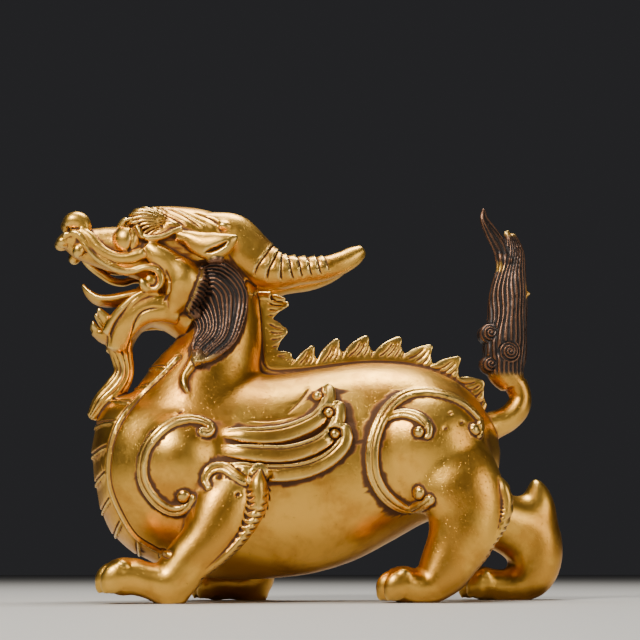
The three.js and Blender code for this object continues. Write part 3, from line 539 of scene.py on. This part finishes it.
def engrave(line, depth, width, taper=True):  # a groove along a line in space, finer at its ends
    if len(line) < 2:
        return
    which = near(line, 2 * width)
    distance, along, _ = measured(at[which], line, normal[which])
    total = length(line)
    share = np.sqrt(np.clip(np.minimum(along, total - along) / (0.2 * total), 0.1, 1)) if taper else 1
    rise[which] -= depth * share * np.exp(-(distance / (0.6 * width)) ** 2)


# A band with a rounded back and grooves along it, at shares of its half width
def band(group, line, widths, height, side, grooves=()):
    path = onFlank(line, side)
    which = near(path, max(widths) + 1, side)
    distance, along, beside = measured(at[which], path, normal[which])
    wide = np.interp(along / length(path), np.linspace(0, 1, len(widths)), widths)
    share = distance / wide
    lift = height * (1 - smoothStep(0.74, 1.06, share)) * (0.8 + 0.2 * np.sqrt(np.clip(1 - share ** 2, 0, 1)))
    for place, depth in grooves:
        lift -= depth * np.exp(-(((beside / wide) * side - place) / 0.15) ** 2) * (share < 1)
    group[which] = np.maximum(group[which], lift)


def boss(group, x, z, radius, height, side):  # a round button on the flank, in a fine groove
    centre = skinLine([(x, z)], side)
    which = near(centre, radius + 1.5, side)
    distance = np.linalg.norm(at[which] - centre[0], axis=1)
    dome = height * np.sqrt(np.clip(1 - (distance / radius) ** 2, 0, 1))
    group[which] = np.where(distance < 1.25 * radius, dome, group[which])


print("scrolls")
scrollForm = {
    "height": 1.45,
    "shoulder": [(-39.6, 53.2), (-37.6, 53), (-36.6, 55), (-39.4, 56.8), (-43.7, 57.3), (-49.5, 55.9), (-54.1, 52.3),
                 (-57.5, 47.5), (-58.6, 43), (-58.2, 37.6), (-56, 33.2), (-52.4, 29.5), (-48.5, 27.7), (-44.6, 28.4),
                 (-42.4, 31.2)],
    "shoulder widths": [1.6, 1.7, 2, 2.1, 2.1, 2.1, 2, 1.9, 1.7],
    "shoulder curl": (-45.2, 32.2, 2.3),
    "haunch": [(54.4, 54.6), (56, 58.5), (52.6, 62.6), (47.5, 66), (38.5, 68.3), (30.8, 67.4), (24.3, 63),
               (19.6, 55.2), (17.7, 47.1), (18.6, 39.3), (22.2, 33.6), (27.8, 29.9), (33, 29.2), (36.6, 31.6)],
    "haunch widths": [1.9, 2.1, 2.2, 2.3, 2.3, 2.3, 2.3, 2.2, 2, 1.8],
    "haunch curl": (33.4, 34, 2.3),
    "tail curl": (53, 55.6, 2.1),
    "branch": [(21.6, 58.4), (25, 60), (29, 60.6), (33.2, 59.2), (36, 56), (35.8, 53.4)],
    "branch widths": [1.2, 1.5, 1.8, 1.9, 1.7],
    "branch curl": (33, 54.2, 1.9),
    "elbow": [(-37.4, 34.9), (-38.4, 38), (-36.4, 41), (-32.4, 41.6), (-28.6, 39), (-25, 37), (-21.6, 38.8)],
    "elbow widths": [1.1, 1.6, 1.9, 2, 1.9, 1.7, 1.2],
    "chips": [(44.1, 60.8), (48, 57.5), (41.9, 55.3), (-2.5, 47), (-47, 60)],
}
scrolls = np.zeros(len(at))
fineLines = [(0.12, 0.5), (0.62, 0.42)]
for side in (left, right):
    height = scrollForm["height"]
    atShoulder, atHaunch = (shoulderShift[side], 0), (haunchShift[side], 0)
    band(scrolls, np.array(scrollForm["shoulder"]) + atShoulder, scrollForm["shoulder widths"], height, side, fineLines)
    band(scrolls, np.array(scrollForm["branch"]) + atHaunch, scrollForm["branch widths"], 0.9 * height, side, [(0.3, 0.4)])
    band(scrolls, np.array(scrollForm["haunch"]) + atHaunch, scrollForm["haunch widths"], height, side, fineLines)
    for name, (shift, _) in (("shoulder curl", atShoulder), ("haunch curl", atHaunch), ("tail curl", atHaunch),
                             ("branch curl", atHaunch)):
        x, z, radius = scrollForm[name]
        boss(scrolls, x + shift, z, radius, 1.2 * height, side)
    band(scrolls, np.array(scrollForm["elbow"]) + atShoulder, scrollForm["elbow widths"], 1.1, side, [(0.2, 0.35)])
rise += scrolls
for x, z in scrollForm["chips"]:
    chip = skinLine([(x, z), (x + 0.7, z + 0.3)], left)
    engrave(chip, 0.4, 1.1, taper=False)
for x, z in [(-34, 38.4), (-28, 32.6)]:  # the elbow's drilled eye and the dimple below it
    engrave(skinLine([(x, z), (x + 0.3, z + 0.2)], left), 1, 1.3, taper=False)

print("wings")
wingForm = {
    "feathers": [  # from the lowest to the uppermost, each with its half widths
        ([(-34, 42.4), (-29, 41), (-22, 40.2), (-12, 40.2), (-5, 41.4), (2, 44.4), (6.5, 48), (8.7, 51.5), (8.4, 54.6)],
         [1.6, 2.7, 2.9, 2.9, 2.8, 2.6, 2.5]),
        ([(-34, 48), (-29, 47), (-22, 46.3), (-12, 46.3), (-5.2, 48), (1, 51), (4.6, 54.4), (6.6, 58.6), (7, 62.4)],
         [1.6, 2.7, 3, 3, 2.8, 2.6, 2.4]),
        ([(-34, 53.6), (-29, 52.8), (-22, 52.1), (-13.6, 52.8), (-6.8, 55), (-1, 58.2), (2.2, 62), (3.8, 65.6), (4, 68.4)],
         [1.4, 2.5, 3, 3, 2.9, 2.6, 2.4])],
    "curls": [(5.2, 53.4, 1.9), (3.4, 60.6, 1.9), (0, 66.6, 1.9)],
    "floor": 1.1,
    "back": 1.2,
    "rim": 0.5,  # of the raised line along each lower edge
}
for side in (left, right):
    feathers = np.zeros(len(at))
    for line, widths in wingForm["feathers"]:
        path = onFlank(line, side)
        which = near(path, 4, side)
        distance, along, beside = measured(at[which], path, normal[which])
        wide = np.interp(along / length(path), np.linspace(0, 1, len(widths)), widths)
        share = distance / wide
        lift = wingForm["floor"] + wingForm["back"] * np.sqrt(np.clip(1 - 0.9 * share ** 2, 0, 1))
        lift += wingForm["rim"] * np.exp(-((beside * side / wide + 0.8) / 0.13) ** 2)
        lift -= 0.4 * np.exp(-((beside * side / wide + 0.52) / 0.12) ** 2)
        lift *= (1 - smoothStep(0.9, 1.06, share)) * smoothStep(0, 9, along)
        feathers[which] = np.maximum(feathers[which], lift)
    for x, z, radius in wingForm["curls"]:
        boss(feathers, x, z, radius, 2.1, side)
    rise += np.where(scrolls > 0.2, 0, feathers)
    for foot, tip in (((-11, 60), (-2, 70.4)), ((-24, 57.6), (-8, 59.6))):  # fine lines above the wing
        engrave(onFlank([foot, (0.5 * (foot[0] + tip[0]), 0.5 * (foot[1] + tip[1]) - 0.8), tip], side), 0.35, 0.6)

print("chest")
chestForm = {
    "rim": [(-47.6, 80), (-51.9, 75), (-60.4, 66.1), (-65.8, 58.8), (-68.7, 52.1), (-70, 43.9), (-69.3, 35.8),
            (-66.1, 27.8), (-60.9, 19.8), (-55.8, 16.3), (-50, 13.4)],
    "pitch": 8.4,  # from plate to plate
    "sag": 3.2,  # of a plate's lower edge in the middle
    "edge": 0.55,
    "groove": 0.55,
}
rims = {side: onFlank(chestForm["rim"], side) for side in (left, right)}
for side in (left, right):
    which = near(rims[side], 3, side)
    distance, _, beside = measured(at[which], rims[side], normal[which])
    rise[which] += 0.7 * np.exp(-(distance / 0.6) ** 2) - 0.3 * np.exp(-((distance - 1.3) / 0.4) ** 2)
middle = rims[left] * (1, 0, 1)
which = np.flatnonzero((at[:, 0] < -40) & (at[:, 2] < 82) & (at[:, 2] > 8) & (np.abs(at[:, 1]) < 22))
isSkin = np.array([bodySkin.find_nearest(point, 0.75)[0] is not None for point in at[which].tolist()])
which = which[isSkin]
_, along, beside = measured(flat[which], middle, flankUp[left])
rimWidth = np.interp(along, np.linspace(0, length(middle), len(rims[left])), np.abs(rims[left][:, 1]))
share = np.clip(np.abs(at[which, 1]) / rimWidth, 0, 1.2)
phase = (along + chestForm["sag"] * share ** 2) / chestForm["pitch"]
place = phase - np.floor(phase)
plates = chestForm["edge"] * (place ** 2 - 0.4) - chestForm["groove"] * np.exp(-((place - 0.84) / 0.04) ** 2)
rise[which] += plates * smoothStep(0.2, 0.9, -beside) * (1 - smoothStep(0.84, 0.95, share))

print("hair")
maneForm = {
    "inner": [(-46.3, 95.6), (-43.2, 93.3), (-41.9, 89.5), (-43.1, 85.5), (-43.8, 82.6), (-43.2, 79.6)],
    "outer": [(-40.9, 114.1), (-37.5, 115.3), (-32.5, 114.6), (-27.5, 110.4), (-24.8, 105), (-24.3, 99),
              (-25.1, 92), (-28.9, 83.5), (-35.3, 78), (-41.8, 76.2)],
    "cheek": [(-40.9, 114.1), (-40.6, 108), (-42.4, 101), (-46.3, 95.6)],
    "strands": 17,
    "height": 1.7,
    "groove": 0.85,
}
inner, outer, behindCheek = (inFlat(maneForm[name]) for name in ("inner", "outer", "cheek"))
outline = np.concatenate([inner, outer[::-1]])[:, [0, 2]]
for side in (left, right):
    box = (at[:, 0] > -50) & (at[:, 0] < -22) & (at[:, 2] > 72) & (at[:, 2] < 118) & (at[:, 1] * side > 4)
    box &= normal[:, 1] * side > -0.1
    which = np.flatnonzero(box)
    toInner = measured(flat[which], inner, flankUp[side])[0]
    toOuter = measured(flat[which], outer, flankUp[side])[0]
    toCheek = measured(flat[which], behindCheek, flankUp[side])[0]
    inside = isInside(flat[which], outline)
    edge = np.where(inside, np.minimum(np.minimum(toInner, toOuter), toCheek + 1), 0)
    across = toInner + toOuter
    phase = maneForm["strands"] * toInner / across + 0.25 * np.sin(0.35 * at[which, 2] + 0.2 * at[which, 0])
    depth = maneForm["groove"] * np.clip(across / maneForm["strands"] / 0.7, 0.2, 1)
    locks = 0.7 * ridges(phase / 4.3 + 0.1, 0.7)  # every few strands stand together as one lock
    lift = maneForm["height"] * smoothStep(0, 1.5, edge) + (locks - depth * (1 - ridges(phase))) * smoothStep(0, 0.8, edge)
    rise[which] += lift
    dark[which] = np.maximum(dark[which], smoothStep(0.1, 0.7, edge) * smoothStep(76, 81, at[which, 2]))

tuftForm = {
    "line": [(73.6, 72), (71, 80), (70.8, 88), (72, 97), (72.9, 106), (74, 115), (75, 123), (73.8, 131)],
    "point": [(72.5, 116), (70.2, 124), (66.8, 130), (64, 135.4), (64.2, 140)],
    "strands": 22,  # round the whole tuft
    "groove": 0.6,
    "curl pitch": 1.15,
}
which = np.flatnonzero((at[:, 0] > 57) & (at[:, 2] > 73))
tuftLine = inFlat(tuftForm["line"])
pointLine = inFlat(tuftForm["point"])
toTuft, alongTuft, besideTuft = measured(flat[which], tuftLine, flankUp[left])
toPoint, _, besidePoint = measured(flat[which], pointLine, flankUp[left])
isPoint = (toPoint < toTuft) & (at[which, 2] > 122)
turn = np.arctan2(at[which, 1], np.where(isPoint, besidePoint, besideTuft) + 0.01)
wave = 0.35 * np.sin(at[which, 2] / 6.5) + 0.2 * np.sin(at[which, 2] / 2.9 + 2 * turn)
count = np.where(isPoint, 0.4, 1) * tuftForm["strands"]
strands = ridges(count * turn / (2 * math.pi) + wave)
lift = -tuftForm["groove"] * (1 - strands) * np.where(isPoint, 0.6, 1) + 0.25 * np.sin(3 * turn + at[which, 2] / 8)
for centre, radii in tailForm["curls"]:
    gap = (at[which] - centre) / radii
    isCurl = np.linalg.norm(gap, axis=1) < 1.1
    reach = np.linalg.norm((at[which] - centre)[:, [0, 2]], axis=1)
    around = np.arctan2(gap[:, 2], gap[:, 0]) / (2 * math.pi)
    rings = -0.75 * (1 - ridges(reach / tuftForm["curl pitch"] - around))
    lift = np.where(isCurl, rings, lift)
lift *= smoothStep(76, 79, at[which, 2])
rise[which] += lift
tips = smoothStep(128.5, 131, at[which, 2]) * (1 - 0.55 * isPoint) + smoothStep(136, 140, at[which, 2]) * isPoint
dark[which] = np.maximum(dark[which], smoothStep(75.5, 78.5, at[which, 2]) * (1 - np.clip(tips, 0, 1) * ~isPoint))
for x, z, radius in ((69.4, 117, 1.3), (80, 107.7, 1.4)):
    knob = np.linalg.norm(flat[which] - (x, 0, z), axis=1) < radius
    dark[which[knob]] = 0.3

beardForm = {"line": [(-68.6, 86), (-66, 81), (-65.4, 76), (-68.4, 70), (-72.6, 65), (-76.2, 60.4)], "strands": 13}
beardLine = inFlat(beardForm["line"])
which = np.flatnonzero((at[:, 0] < -58) & (at[:, 2] > 59) & (at[:, 2] < 87) & (np.abs(at[:, 1]) < 7.5))
toBeard, alongBeard, besideBeard = measured(flat[which], beardLine, flankUp[left])
isBeard = (toBeard < 5) & ~np.array([bodySkin.find_nearest(point, 1.0)[0] is not None for point in at[which].tolist()])
turn = np.arctan2(at[which, 1], besideBeard + 0.01)
strands = ridges(beardForm["strands"] * turn / (2 * math.pi) + 0.2 * np.sin(alongBeard / 3))
rise[which] -= 0.55 * (1 - strands) * isBeard * smoothStep(2, 6, alongBeard)

print("fringes")
for name, line in fringeForm.items():
    stance = layout["fore stance"] if name == "fore" else layout["hind stance"]
    path = smoothLine([(x, -stance - 1.2, z) for x, z, _ in line])
    which = near(path, 5, left)
    distance, along, beside = measured(at[which], path, np.array([0, -1.0, 0]))
    wide = np.interp(along / length(path), np.linspace(0, 1, len(line)), [width for _, _, width in line])
    lean = beside if name == "fore" else beside * np.clip((along - 8) / 8, -1, 1)
    strokes = ridges(along / 2.3 - 0.42 * lean)
    outside = (1 - smoothStep(1.25, 1.6, distance / wide)) * smoothStep(-0.1, 0.3, -normal[which, 1])
    rise[which] -= 0.7 * (1 - strokes) * outside

print("crest")
start = np.array(crestForm["top"], float)
for tipX, tipZ, notchX, notchZ in crestForm["teeth"]:
    tip, notch = np.array([tipX, tipZ]), np.array([notchX, notchZ])
    base = notch - start
    inwards = np.array([base[1], -base[0]]) / max(np.linalg.norm(base), 1e-6)
    if np.dot(inwards, tip - start) > 0:
        inwards = -inwards
    strokes = 4 if np.linalg.norm(base) > 6 else 3
    for number in range(strokes):
        share = (number + 0.5) / strokes
        foot = start + share * base + 1.6 * inwards
        head = start + (0.35 + 0.5 * share) * base + 0.72 * (tip - start - 0.6 * base)
        bend = 0.5 * (foot + head) + 0.08 * np.array([head[1] - foot[1], foot[0] - head[0]])
        for y in (-1.5, 1.5):
            line = curveAt([(foot[0], y, foot[1]), (bend[0], y, bend[1]), (head[0], y, head[1])], np.linspace(0, 1, 8))[0]
            engrave(line, 0.45, 0.75)
    start = notch
for y in (-1.8, 1.8):
    foot = [(x, z) for x, z in [(-19, 104), (-17.9, 97), (-17.4, 86), (-15.4, 78.6), (-6, 78.2), (9, 80.4), (26, 82),
                                (41, 80.6), (52.4, 76), (58.4, 70.4)]]
    line = smoothLine([(x, y, z) for x, z in foot])
    engrave(line, 0.5, 0.9, taper=False)

print("horns")
hornLine = smoothLine([(-42, 4.5, 127), (-35.6, 5.5, 127.2), (-29.6, 6.5, 125), (-23, 7.5, 118), (-14.4, 8.5, 112.6),
                       (-5.4, 8.9, 113.1), (3, 9.2, 114.2), (10, 9.4, 116.8), (15, 9.5, 119.8), (17.8, 9.5, 121.8)])
for side in (left, right):
    line = hornLine * (1, side, 1)
    which = near(line, 9, side)
    which = which[(at[which, 0] > -27) & (at[which, 2] > 103)]
    distance, along, _ = measured(at[which], line, normal[which])
    upper = smoothStep(-0.25, 0.5, normal[which] @ np.array([-0.15, side * 0.55, 0.8]))
    ringed = smoothStep(25, 28, along) * (1 - smoothStep(50, 53, along))
    phase = along / 3.5 + 0.35 * upper
    place = phase - np.floor(phase)
    rise[which] += (0.75 * place ** 2 - 0.55 * np.exp(-((place - 0.12) / 0.09) ** 2)) * upper * ringed

print("face")
faceLines = [  # depth, width and the line
    (0.55, 0.9, [(-66.1, 124.3), (-65.7, 121), (-66, 118), (-66.8, 115.4)]),  # where the lid meets the eye
    (0.4, 0.7, [(-62.4, 123.4), (-61.6, 119.6), (-63.2, 116)]),
    (0.9, 1.3, [(-86.4, 124.3), (-87, 122.3)]),  # nostril
    (0.5, 0.8, [(-84.4, 121.6), (-80, 117.4), (-76, 113.4), (-70.6, 110.6), (-65.4, 109.9), (-61, 111.4), (-57.6, 111)]),
    (0.6, 0.9, [(-60.7, 102), (-64.4, 99.4), (-67, 95.5), (-69.5, 91.6), (-70.7, 87.7), (-70.6, 84.6)]),
    (0.6, 1, [(-54.1, 97), (-57.5, 96.8), (-61.2, 95.2), (-62.9, 91.8), (-63.5, 88), (-64.2, 83.7)]),
    (0.6, 0.9, [(-59.7, 132.7), (-51.7, 129.2), (-47.7, 126.5)]),  # between the locks of the crown
    (0.6, 0.9, [(-53.3, 133.6), (-46.8, 130.1), (-41.8, 125.9)]),
    (0.35, 0.6, [(-49.8, 133.4), (-43.8, 129.7), (-39.3, 127.5)]),
    (0.6, 0.9, [(-43.8, 132), (-38.3, 130.1), (-35.3, 127.8)]),
    (0.5, 0.8, [(-54.4, 110.5), (-52.6, 106), (-52.4, 102.2), (-54, 99)]),  # in front of the cheek's ball
    (0.5, 0.8, [(-51.6, 113.4), (-48.6, 114.6), (-44.6, 112.4)]),
]
for side in (left, right):
    for depth, width, line in faceLines:
        engrave(onBeast(line, side), depth, width)
    bud = np.array([-52.4, 0, 126.3])
    gap = flat - bud
    reach = np.linalg.norm(gap, axis=1)
    turn = np.degrees(np.arctan2(gap[:, 2], -gap[:, 0]))
    isTuft = (reach > 1.4) & (reach < 17) & (at[:, 1] * side > 2.5) & (at[:, 2] > 122) & (at[:, 0] > -70) & (at[:, 0] < -50.5)
    isTuft &= np.linalg.norm((at - (-58.8, side * 6.6, 127.8)) / (9.4, 6.4, 6.8), axis=1) < 1
    which = np.flatnonzero(isTuft)
    strokes = ridges((turn[which] + 1.6 * reach[which]) / 8.5)
    fade = smoothStep(1.4, 3, reach[which]) * smoothStep(-32, -24, turn[which]) * (1 - smoothStep(72, 84, turn[which]))
    rise[which] -= 0.75 * (1 - strokes) * fade
    hollow = np.array([(-42.6, 115.4), (-40.2, 117.4), (-37.4, 118.9), (-33.6, 120.2), (-34.6, 117.6), (-38.8, 115.2)])
    which = np.flatnonzero((at[:, 1] * side > 13) & isInside(flat, hollow) & (normal[:, 1] * side > 0))
    edge = measured(flat[which], inFlat(np.vstack([hollow, hollow[:1]]), 0.6), flankUp[side])[0]
    rise[which] -= 2.4 * smoothStep(0, 1.5, edge)

points = at + normal * rise[:, None]
points[:, 2] = np.maximum(points[:, 2], layout["origin"][2])
setPoints(beast, points)


# Hollows and edges of two scales: the fine scale for the patina, the broad scale for painted shade in the wide hollows
# under and between the forms. In a hollow the skin round about lies further out.

ends = np.empty(2 * len(beast.data.edges), np.int32)
beast.data.edges.foreach_get("vertices", ends)
ends = ends.reshape(-1, 2)
both = np.concatenate([ends[:, 0], ends[:, 1]])
other = np.concatenate([ends[:, 1], ends[:, 0]])
friends = np.maximum(np.bincount(both, minlength=len(points)), 1)[:, None]


def evened(values, times):
    for _ in range(times):
        sums = np.stack([np.bincount(both, values[other, i], len(values)) for i in range(values.shape[1])], axis=1)
        values = 0.5 * values + 0.5 * sums / friends
    return values


normal = normalsOf(beast)
fine = evened(points, 6)
broad = evened(fine, 36)
marks = {
    "hollow": evened(np.sum((fine - points) * normal, axis=1)[:, None] / 0.12, 2)[:, 0],
    # broad hollows: the mask where painted shade is laid
    "valleyShade": evened(np.sum((broad - points) * normal, axis=1)[:, None] / 0.6, 4)[:, 0],
    "dark": dark,
}
for name, values in marks.items():
    attribute = beast.data.attributes.new(name, "FLOAT", "POINT")
    attribute.data.foreach_set("value", np.clip(values, -1, 1).astype(np.float32))


# Turns the head and brings all to the frame, in metres
def placed(points):
    axis = layout["neck axis x"]
    angle = layout["head turn"] * smoothStep(layout["turned from"], layout["turned at"], points[:, 2])
    angle *= 1 - smoothStep(*layout["straight from"], points[:, 0])
    dx, dy = points[:, 0] - axis, points[:, 1]
    turned = np.stack([axis + dx * np.cos(angle) - dy * np.sin(angle),
                       dx * np.sin(angle) + dy * np.cos(angle), points[:, 2]], axis=1)
    return (turned - layout["origin"]) * layout["metre"]


print("thinning")
triangleLimit = 192000
applied(beast, "DECIMATE", ratio=min(1, triangleLimit / (2 * len(beast.data.polygons))))
setPoints(beast, placed(pointsOf(beast)))
selectOnly([beast])
bpy.ops.object.shade_smooth()
print("beast", len(beast.data.polygons), "faces")


# Gilding

class Shade:  # a socket that adds, multiplies and so on as a number does
    def __init__(self, tree, socket):
        self.tree = tree
        self.socket = socket

    def made(self, kind, sockets=(), output=0, **settings):
        node = self.tree.nodes.new(kind)
        for key, value in settings.items():
            setattr(node, key, value)
        for key, value in dict(sockets).items():
            if isinstance(value, Shade):
                self.tree.links.new(value.socket, node.inputs[key])
            else:
                node.inputs[key].default_value = value
        return Shade(self.tree, node.outputs[output])

    def maths(self, operation, first, second=0.0, third=0.0):
        return self.made("ShaderNodeMath", {0: first, 1: second, 2: third}, operation=operation)

    def __add__(self, other):
        return self.maths("ADD", self, other)

    __radd__ = __add__

    def __mul__(self, other):
        return self.maths("MULTIPLY", self, other)

    __rmul__ = __mul__

    def __sub__(self, other):
        return self.maths("SUBTRACT", self, other)

    def __rsub__(self, other):
        return self.maths("SUBTRACT", other, self)

    def between(self, low, high):  # 0 below low, 1 above high, smooth in between
        return self.made("ShaderNodeMapRange", {"Value": self, "From Min": low, "From Max": high},
                         interpolation_type="SMOOTHSTEP")

    def mixed(self, first, second):  # of two colours by this share
        node = self.tree.nodes.new("ShaderNodeMix")
        node.data_type = "RGBA"
        self.tree.links.new(self.socket, node.inputs["Factor"])
        for key, value in ((6, first), (7, second)):
            if isinstance(value, Shade):
                self.tree.links.new(value.socket, node.inputs[key])
            else:
                node.inputs[key].default_value = (*value, 1)
        return Shade(self.tree, node.outputs[2])

    def drives(self, node, socket):
        self.tree.links.new(self.socket, node.inputs[socket])


gilding = {
    "gold": (0.86, 0.47, 0.075),
    "deep gold": (0.60, 0.27, 0.035),
    "olive": (0.62, 0.45, 0.12),
    "rubbed": (0.95, 0.66, 0.22),  # edges and backs, polished by handling
    # red-brown patina and spots, also laid as painted shade in the broad hollows
    "red brown": (0.30, 0.085, 0.018),
    # near-black patina of the fine hollows, also laid as painted shade in the broad hollows
    "recess": (0.075, 0.028, 0.008),
    "black": (0.022, 0.017, 0.016),
    "copper": (0.26, 0.12, 0.06),  # worn ridges of the blackened hair
    "patches": 38,  # how many to the metre
    "pits": 900,
}


def giltBronze():
    material = bpy.data.materials.new("giltBronze")
    material.use_nodes = True
    tree = material.node_tree
    shader = tree.nodes["Principled BSDF"]
    nodes = Shade(tree, None)
    place = nodes.made("ShaderNodeTexCoord", output=3)

    def noise(scale, detail=3, roughness=0.55, distortion=0.0):
        return nodes.made("ShaderNodeTexNoise", {"Vector": place, "Scale": scale, "Detail": detail,
                                                 "Roughness": roughness, "Distortion": distortion})

    hollow = nodes.made("ShaderNodeAttribute", output=2, attribute_name="hollow")
    # broad hollows, where the gilding gets painted shade
    valleyShade = nodes.made("ShaderNodeAttribute", output=2, attribute_name="valleyShade")
    dark = nodes.made("ShaderNodeAttribute", output=2, attribute_name="dark")
    patches = noise(gilding["patches"], 4, 0.6, 0.4)
    blotches = noise(3.2 * gilding["patches"], 5, 0.65)
    specks = noise(22 * gilding["patches"], 3, 0.6)

    warmth = (patches + 0.35 * blotches).between(0.56, 0.82)
    gold = warmth.mixed(gilding["gold"], gilding["deep gold"])
    lifted = (0.5 * patches - 1.1 * valleyShade + 0.5 * hollow).between(0.2, 0.75)
    gold = (0.5 * lifted).mixed(gold, gilding["olive"])
    edges = (0.25 * blotches - hollow).between(0.3, 0.95)
    gold = (0.75 * edges).mixed(gold, gilding["rubbed"])
    # red-brown patina in the fine hollows and in patches, and painted shade in the broad hollows under and between the
    # forms
    redPatinaAndShade = (valleyShade + 0.8 * hollow + 0.7 * blotches - 0.35).between(0.14, 0.6)
    gold = (0.8 * redPatinaAndShade).mixed(gold, gilding["red brown"])
    spotted = (specks + 0.5 * blotches).between(0.92, 1.06)
    gold = (0.45 * spotted).mixed(gold, gilding["red brown"])
    # near-black patina in the fine hollows, with some painted shade from the broad hollows
    recess = (hollow + 0.35 * valleyShade + 0.3 * blotches).between(0.34, 0.85)
    gold = (0.94 * recess).mixed(gold, gilding["recess"])
    ridge = (0.55 * blotches - 0.9 * hollow).between(0.3, 0.95)
    hair = (0.7 * ridge).mixed(gilding["black"], gilding["copper"])
    dark.mixed(gold, hair).drives(shader, "Base Color")

    dull = (1 - 0.62 * recess) * (1 - 0.3 * redPatinaAndShade)
    (dull * (1 - 0.35 * dark)).drives(shader, "Metallic")
    grain = noise(9 * gilding["patches"], 4, 0.6)
    roughness = 0.27 + 0.16 * grain + 0.32 * recess + 0.14 * redPatinaAndShade + 0.16 * spotted - 0.06 * edges
    (roughness + 0.06 * dark).drives(shader, "Roughness")

    pits = nodes.made("ShaderNodeTexVoronoi", {"Vector": place, "Scale": gilding["pits"], "Randomness": 1.0})
    pitted = (0.5 * blotches - pits).between(0.04, 0.2)
    relief = 0.55 * noise(16 * gilding["patches"], 4, 0.6) + 0.12 * noise(60 * gilding["patches"], 2) - 0.5 * pitted
    bump = tree.nodes.new("ShaderNodeBump")
    bump.inputs["Strength"].default_value = 0.4
    bump.inputs["Distance"].default_value = 0.0003
    relief.drives(bump, "Height")
    tree.links.new(bump.outputs["Normal"], shader.inputs["Normal"])
    return material


beast.data.materials.clear()
beast.data.materials.append(giltBronze())
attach(beast, "root")
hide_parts("mythical_beast")


# Studio

studio = {
    "lens": 82,
    "target": (-0.00088, 0, 0.0986),
    "camera": (-0.0722, -0.5074, 0.0102),
    "aim": (0, 0, 0.06),  # of the lights
    "world": (0.022, 0.022, 0.024),
    "floor": (0.5, 0.49, 0.47),
    "lights": [  # name, place, size, watts, colour
        ("key", (-0.42, -0.55, 0.62), 0.22, 9, (1, 0.96, 0.88)),
        ("top", (0.05, 0.12, 0.8), 0.4, 7, (1, 0.98, 0.94)),
        ("fill", (0.75, -0.6, 0.3), 0.5, 2.5, (1, 0.95, 0.86))],
}
bpy.ops.object.select_all(action="DESELECT")
bpy.ops.mesh.primitive_plane_add(size=8, location=(0, 0, 0))
floor = bpy.context.object
floor.name = "floor"
paint = bpy.data.materials.new("paleFloor")
paint.use_nodes = True
floorShader = paint.node_tree.nodes["Principled BSDF"]
grainOfFloor = Shade(paint.node_tree, None).made("ShaderNodeTexNoise", {"Scale": 40.0, "Detail": 4.0})
tint = (0.12 * grainOfFloor).mixed(studio["floor"], (0.42, 0.41, 0.4))
tint.drives(floorShader, "Base Color")
floorShader.inputs["Roughness"].default_value = 0.6
floor.data.materials.append(paint)


def aimed(thing, target):
    thing.rotation_euler = (Vector(target) - thing.location).to_track_quat("-Z", "Y").to_euler()


world = bpy.data.worlds.new("studio")
bpy.context.scene.world = world
world.use_nodes = True
world.node_tree.nodes["Background"].inputs["Color"].default_value = (*studio["world"], 1)
for name, place, size, watts, colour in studio["lights"]:
    bpy.ops.object.light_add(type="AREA", location=place)
    lamp = bpy.context.object
    lamp.name = name
    lamp.data.shape = "DISK"
    lamp.data.size = size
    lamp.data.energy = watts
    lamp.data.color = colour
    aimed(lamp, studio["aim"])
bpy.ops.object.camera_add(location=studio["camera"])
camera = bpy.context.object
camera.data.lens = studio["lens"]
camera.data.sensor_width = 36
aimed(camera, studio["target"])
bpy.context.scene.camera = camera
